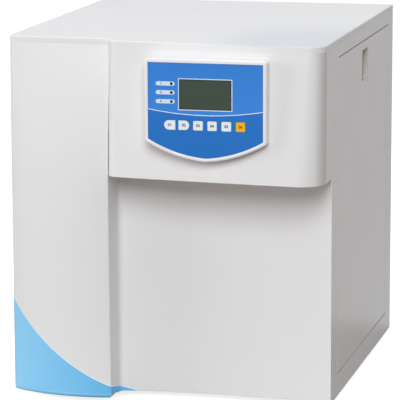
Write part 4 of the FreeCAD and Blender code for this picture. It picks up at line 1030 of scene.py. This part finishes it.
# %% Lamp lenses
LENS_RADIUS = 2.0 * MM
LENS_PROUD = 0.45 * MM
LENS_INSET = 31.7 * MM
for i, drop in enumerate(LIGHT_DROPS, 1):
    bm = bmesh.new()
    bmesh.ops.create_uvsphere(bm, u_segments=24, v_segments=12, radius=LENS_RADIUS)
    bmesh.ops.scale(bm, vec=(1, LENS_PROUD / LENS_RADIUS, 1), verts=bm.verts)
    bmesh.ops.translate(bm, vec=(PANEL_LEFT + LENS_INSET, PANEL_FRONT, PANEL_TOP - drop),
                        verts=bm.verts)
    finish_piece(bm, "lamp_%d" % i, lamp_lens, "lamp_lens")
print("lamps set")

# %% [markdown]
# ## Everything else the cabinet holds
#
# Inner pieces, feet and rear fittings already have their shape in the CAD model, so each takes its
# finish in its own material slot.

# %% Finishes for the remaining CAD pieces
# Solder mask: a thin green lacquer over copper, a little shiny.
solder_mask = skin_material("green_solder_mask", "1E5A38", "184C2F", 1.5, 0.006, 0.35, coat=0.2)
finishes = {
    foot_rubber: ("rubber_feet", "pump_grommets"),
    zinc_plate: ("door_pivot_pins", "cartridge_rail", "pump_cradles", "lcd_module"),
    stainless: ("uv_chamber",),
    folded_aluminium: ("power_supply",),
    black_nylon: ("mains_inlet", "switch_frame", "switch_rocker", "key_switches", "door_magnets",
                  "pressure_switches", "status_lights"),
    white_acetal: ("bridge_tubes", "feed_fitting", "drain_fitting", "tank_fitting", "fitting_nuts",
                   "housing_clips", "pure_nozzle", "ultrapure_nozzle", "nozzle_nuts",
                   "solenoid_valves"),
    canister_plastic: ("cartridge_heads", "sediment_cartridge", "carbon_cartridge",
                       "polisher_cartridge_1", "polisher_cartridge_2", "membrane_housing"),
    motor_enamel: ("booster_pump_motor", "loop_pump_motor"),
    pump_plastic: ("booster_pump_head", "loop_pump_head"),
    solder_mask: ("control_board", "display_board"),
    powder_coat: ("centre_partition",),
}
for material, names in finishes.items():
    for name in names:
        mesh = nodes[name].data
        mesh.materials.clear()
        mesh.materials.append(material)
print("finished:", sum(len(names) for names in finishes.values()), "CAD pieces")

# %% [markdown]
# ## Floor, light and background
#
# The machine stands on a pale floor in soft light. A large lamp beside the camera fills the front
# from about 30 degrees up, so the head shades the top of the bay. Weaker ones light the rounded
# left edge, the lid and the right side from behind. The room adds a little, and is white where the
# camera or a reflection sees it.

# %% Floor and background
BENCH = "998A82"        # what the floor sends back up: low and a little warm, like a bench top
PAD = "D2CECA"          # the pale mat under the cabinet, which lifts the foot of the covers
PAD_REACH = (0.34, 0.75)
BENCH_LIFT = 0.62       # brightness of the bench in a reflection
BENCH_EDGE = 0.31       # the bench ends here, behind the cabinet
BENCH_SOFT = 0.02       # half the width in which it turns to backdrop
BACKDROP_LIFT = 0.8     # brightness of the backdrop in a reflection
MOTTLE_SCALE = 3.0      # clouds of a third of a metre
FLOOR_REACH = 6.0
FLOOR_LIFT = 0.78       # added for the camera: the background is white and a shadow stays


def floor_material():
    """A pale floor for the camera, and a plain bench with its backdrop for light and
    reflections."""
    material, tree, place = new_material("pale_floor")
    mottle = add(tree, "TexNoise", {"Vector": place, "Scale": MOTTLE_SCALE, "Detail": 2.0})
    pale = add(tree, "Mix", {
        "Factor": mottle, 6: colour("F7F6F4"), 7: colour("F3F2F0")}, data_type="RGBA")
    path = add(tree, "LightPath")
    reach = add(tree, "VectorMath", {0: place}, operation="LENGTH")
    mat = add(tree, "MapRange", {
        "Value": reach.outputs["Value"], "From Min": PAD_REACH[0], "From Max": PAD_REACH[1],
        "To Min": 1.0, "To Max": 0.0})
    bench = add(tree, "Mix", {"Factor": mat, 6: colour(BENCH), 7: colour(PAD)}, data_type="RGBA")
    tone = add(tree, "Mix", {
        "Factor": path.outputs["Is Camera Ray"], 6: bench.outputs[2], 7: pale.outputs[2]},
        data_type="RGBA")
    matte = add(tree, "BsdfDiffuse", {"Color": tone.outputs[2]})
    lift = add(tree, "Math", {
        0: path.outputs["Is Camera Ray"], 1: FLOOR_LIFT}, operation="MULTIPLY")
    glow = add(tree, "Emission", {"Strength": lift})
    both = add(tree, "AddShader", {0: matte, 1: glow})
    parts = add(tree, "SeparateXYZ", {"Vector": place})
    beyond = add(tree, "MapRange", {
        "Value": parts.outputs["Y"], "From Min": BENCH_EDGE - BENCH_SOFT,
        "From Max": BENCH_EDGE + BENCH_SOFT})
    mirror_tone = add(tree, "Mix", {
        "Factor": beyond, 6: colour(BENCH), 7: pale.outputs[2]}, data_type="RGBA")
    mirror_light = add(tree, "MapRange", {
        "Value": beyond, "To Min": BENCH_LIFT, "To Max": BACKDROP_LIFT})
    mirrored = add(tree, "Emission", {"Color": mirror_tone.outputs[2], "Strength": mirror_light})
    look = add(tree, "MixShader", {0: path.outputs["Is Glossy Ray"], 1: both, 2: mirrored})
    add(tree, "OutputMaterial", {"Surface": look})
    return material


bm = bmesh.new()
bmesh.ops.create_grid(bm, x_segments=1, y_segments=1, size=FLOOR_REACH)
floor_mesh = bpy.data.meshes.new("floor")
bm.to_mesh(floor_mesh)
bm.free()
floor_mesh.materials.append(floor_material())
floor = into_scene("floor", floor_mesh)
print("floor ready")

# %% Room light
AMBIENT = 0.24
SKY = "F9FAFD"
world = bpy.data.worlds.new("studio")
bpy.context.scene.world = world
world.use_nodes = True
sky = world.node_tree
sky.nodes.clear()
path = add(sky, "LightPath")
seen = add(sky, "Math", {
    0: path.outputs["Is Camera Ray"], 1: path.outputs["Is Transmission Ray"]}, operation="MAXIMUM")
seen = add(sky, "Math", {0: seen, 1: path.outputs["Is Glossy Ray"]}, operation="MAXIMUM")
strength = add(sky, "MapRange", {"Value": seen, "To Min": AMBIENT, "To Max": 1.0})
tone = add(sky, "Mix", {
    "Factor": path.outputs["Is Camera Ray"], 6: colour(SKY), 7: colour("FFFFFF")}, data_type="RGBA")
background = add(sky, "Background", {"Color": tone.outputs[2], "Strength": strength})
add(sky, "OutputWorld", {"Surface": background})
print("room light", AMBIENT)

# %% Lamps
LAMP_AIM = Vector((0.0, -0.1, 0.28))
# Each lamp's place, side and power: metres, metres and watts.
for name, place, side, power in (("front_lamp", (0.7, -3.9, 2.6), 2.2, 140),
                                 ("left_lamp", (-3.6, -1.4, 1.0), 2.0, 52),
                                 ("top_lamp", (0.0, 0.25, 2.4), 1.4, 15.5),
                                 ("rear_lamp", (2.8, 1.8, 1.0), 1.6, 11)):
    light = bpy.data.lights.new(name, "AREA")
    light.size = side
    light.energy = power
    turn = (LAMP_AIM - Vector(place)).to_track_quat("-Z", "Y").to_matrix().to_4x4()
    into_scene(name, light).matrix_world = Matrix.Translation(place) @ turn

bpy.context.scene.view_settings.view_transform = "Standard"
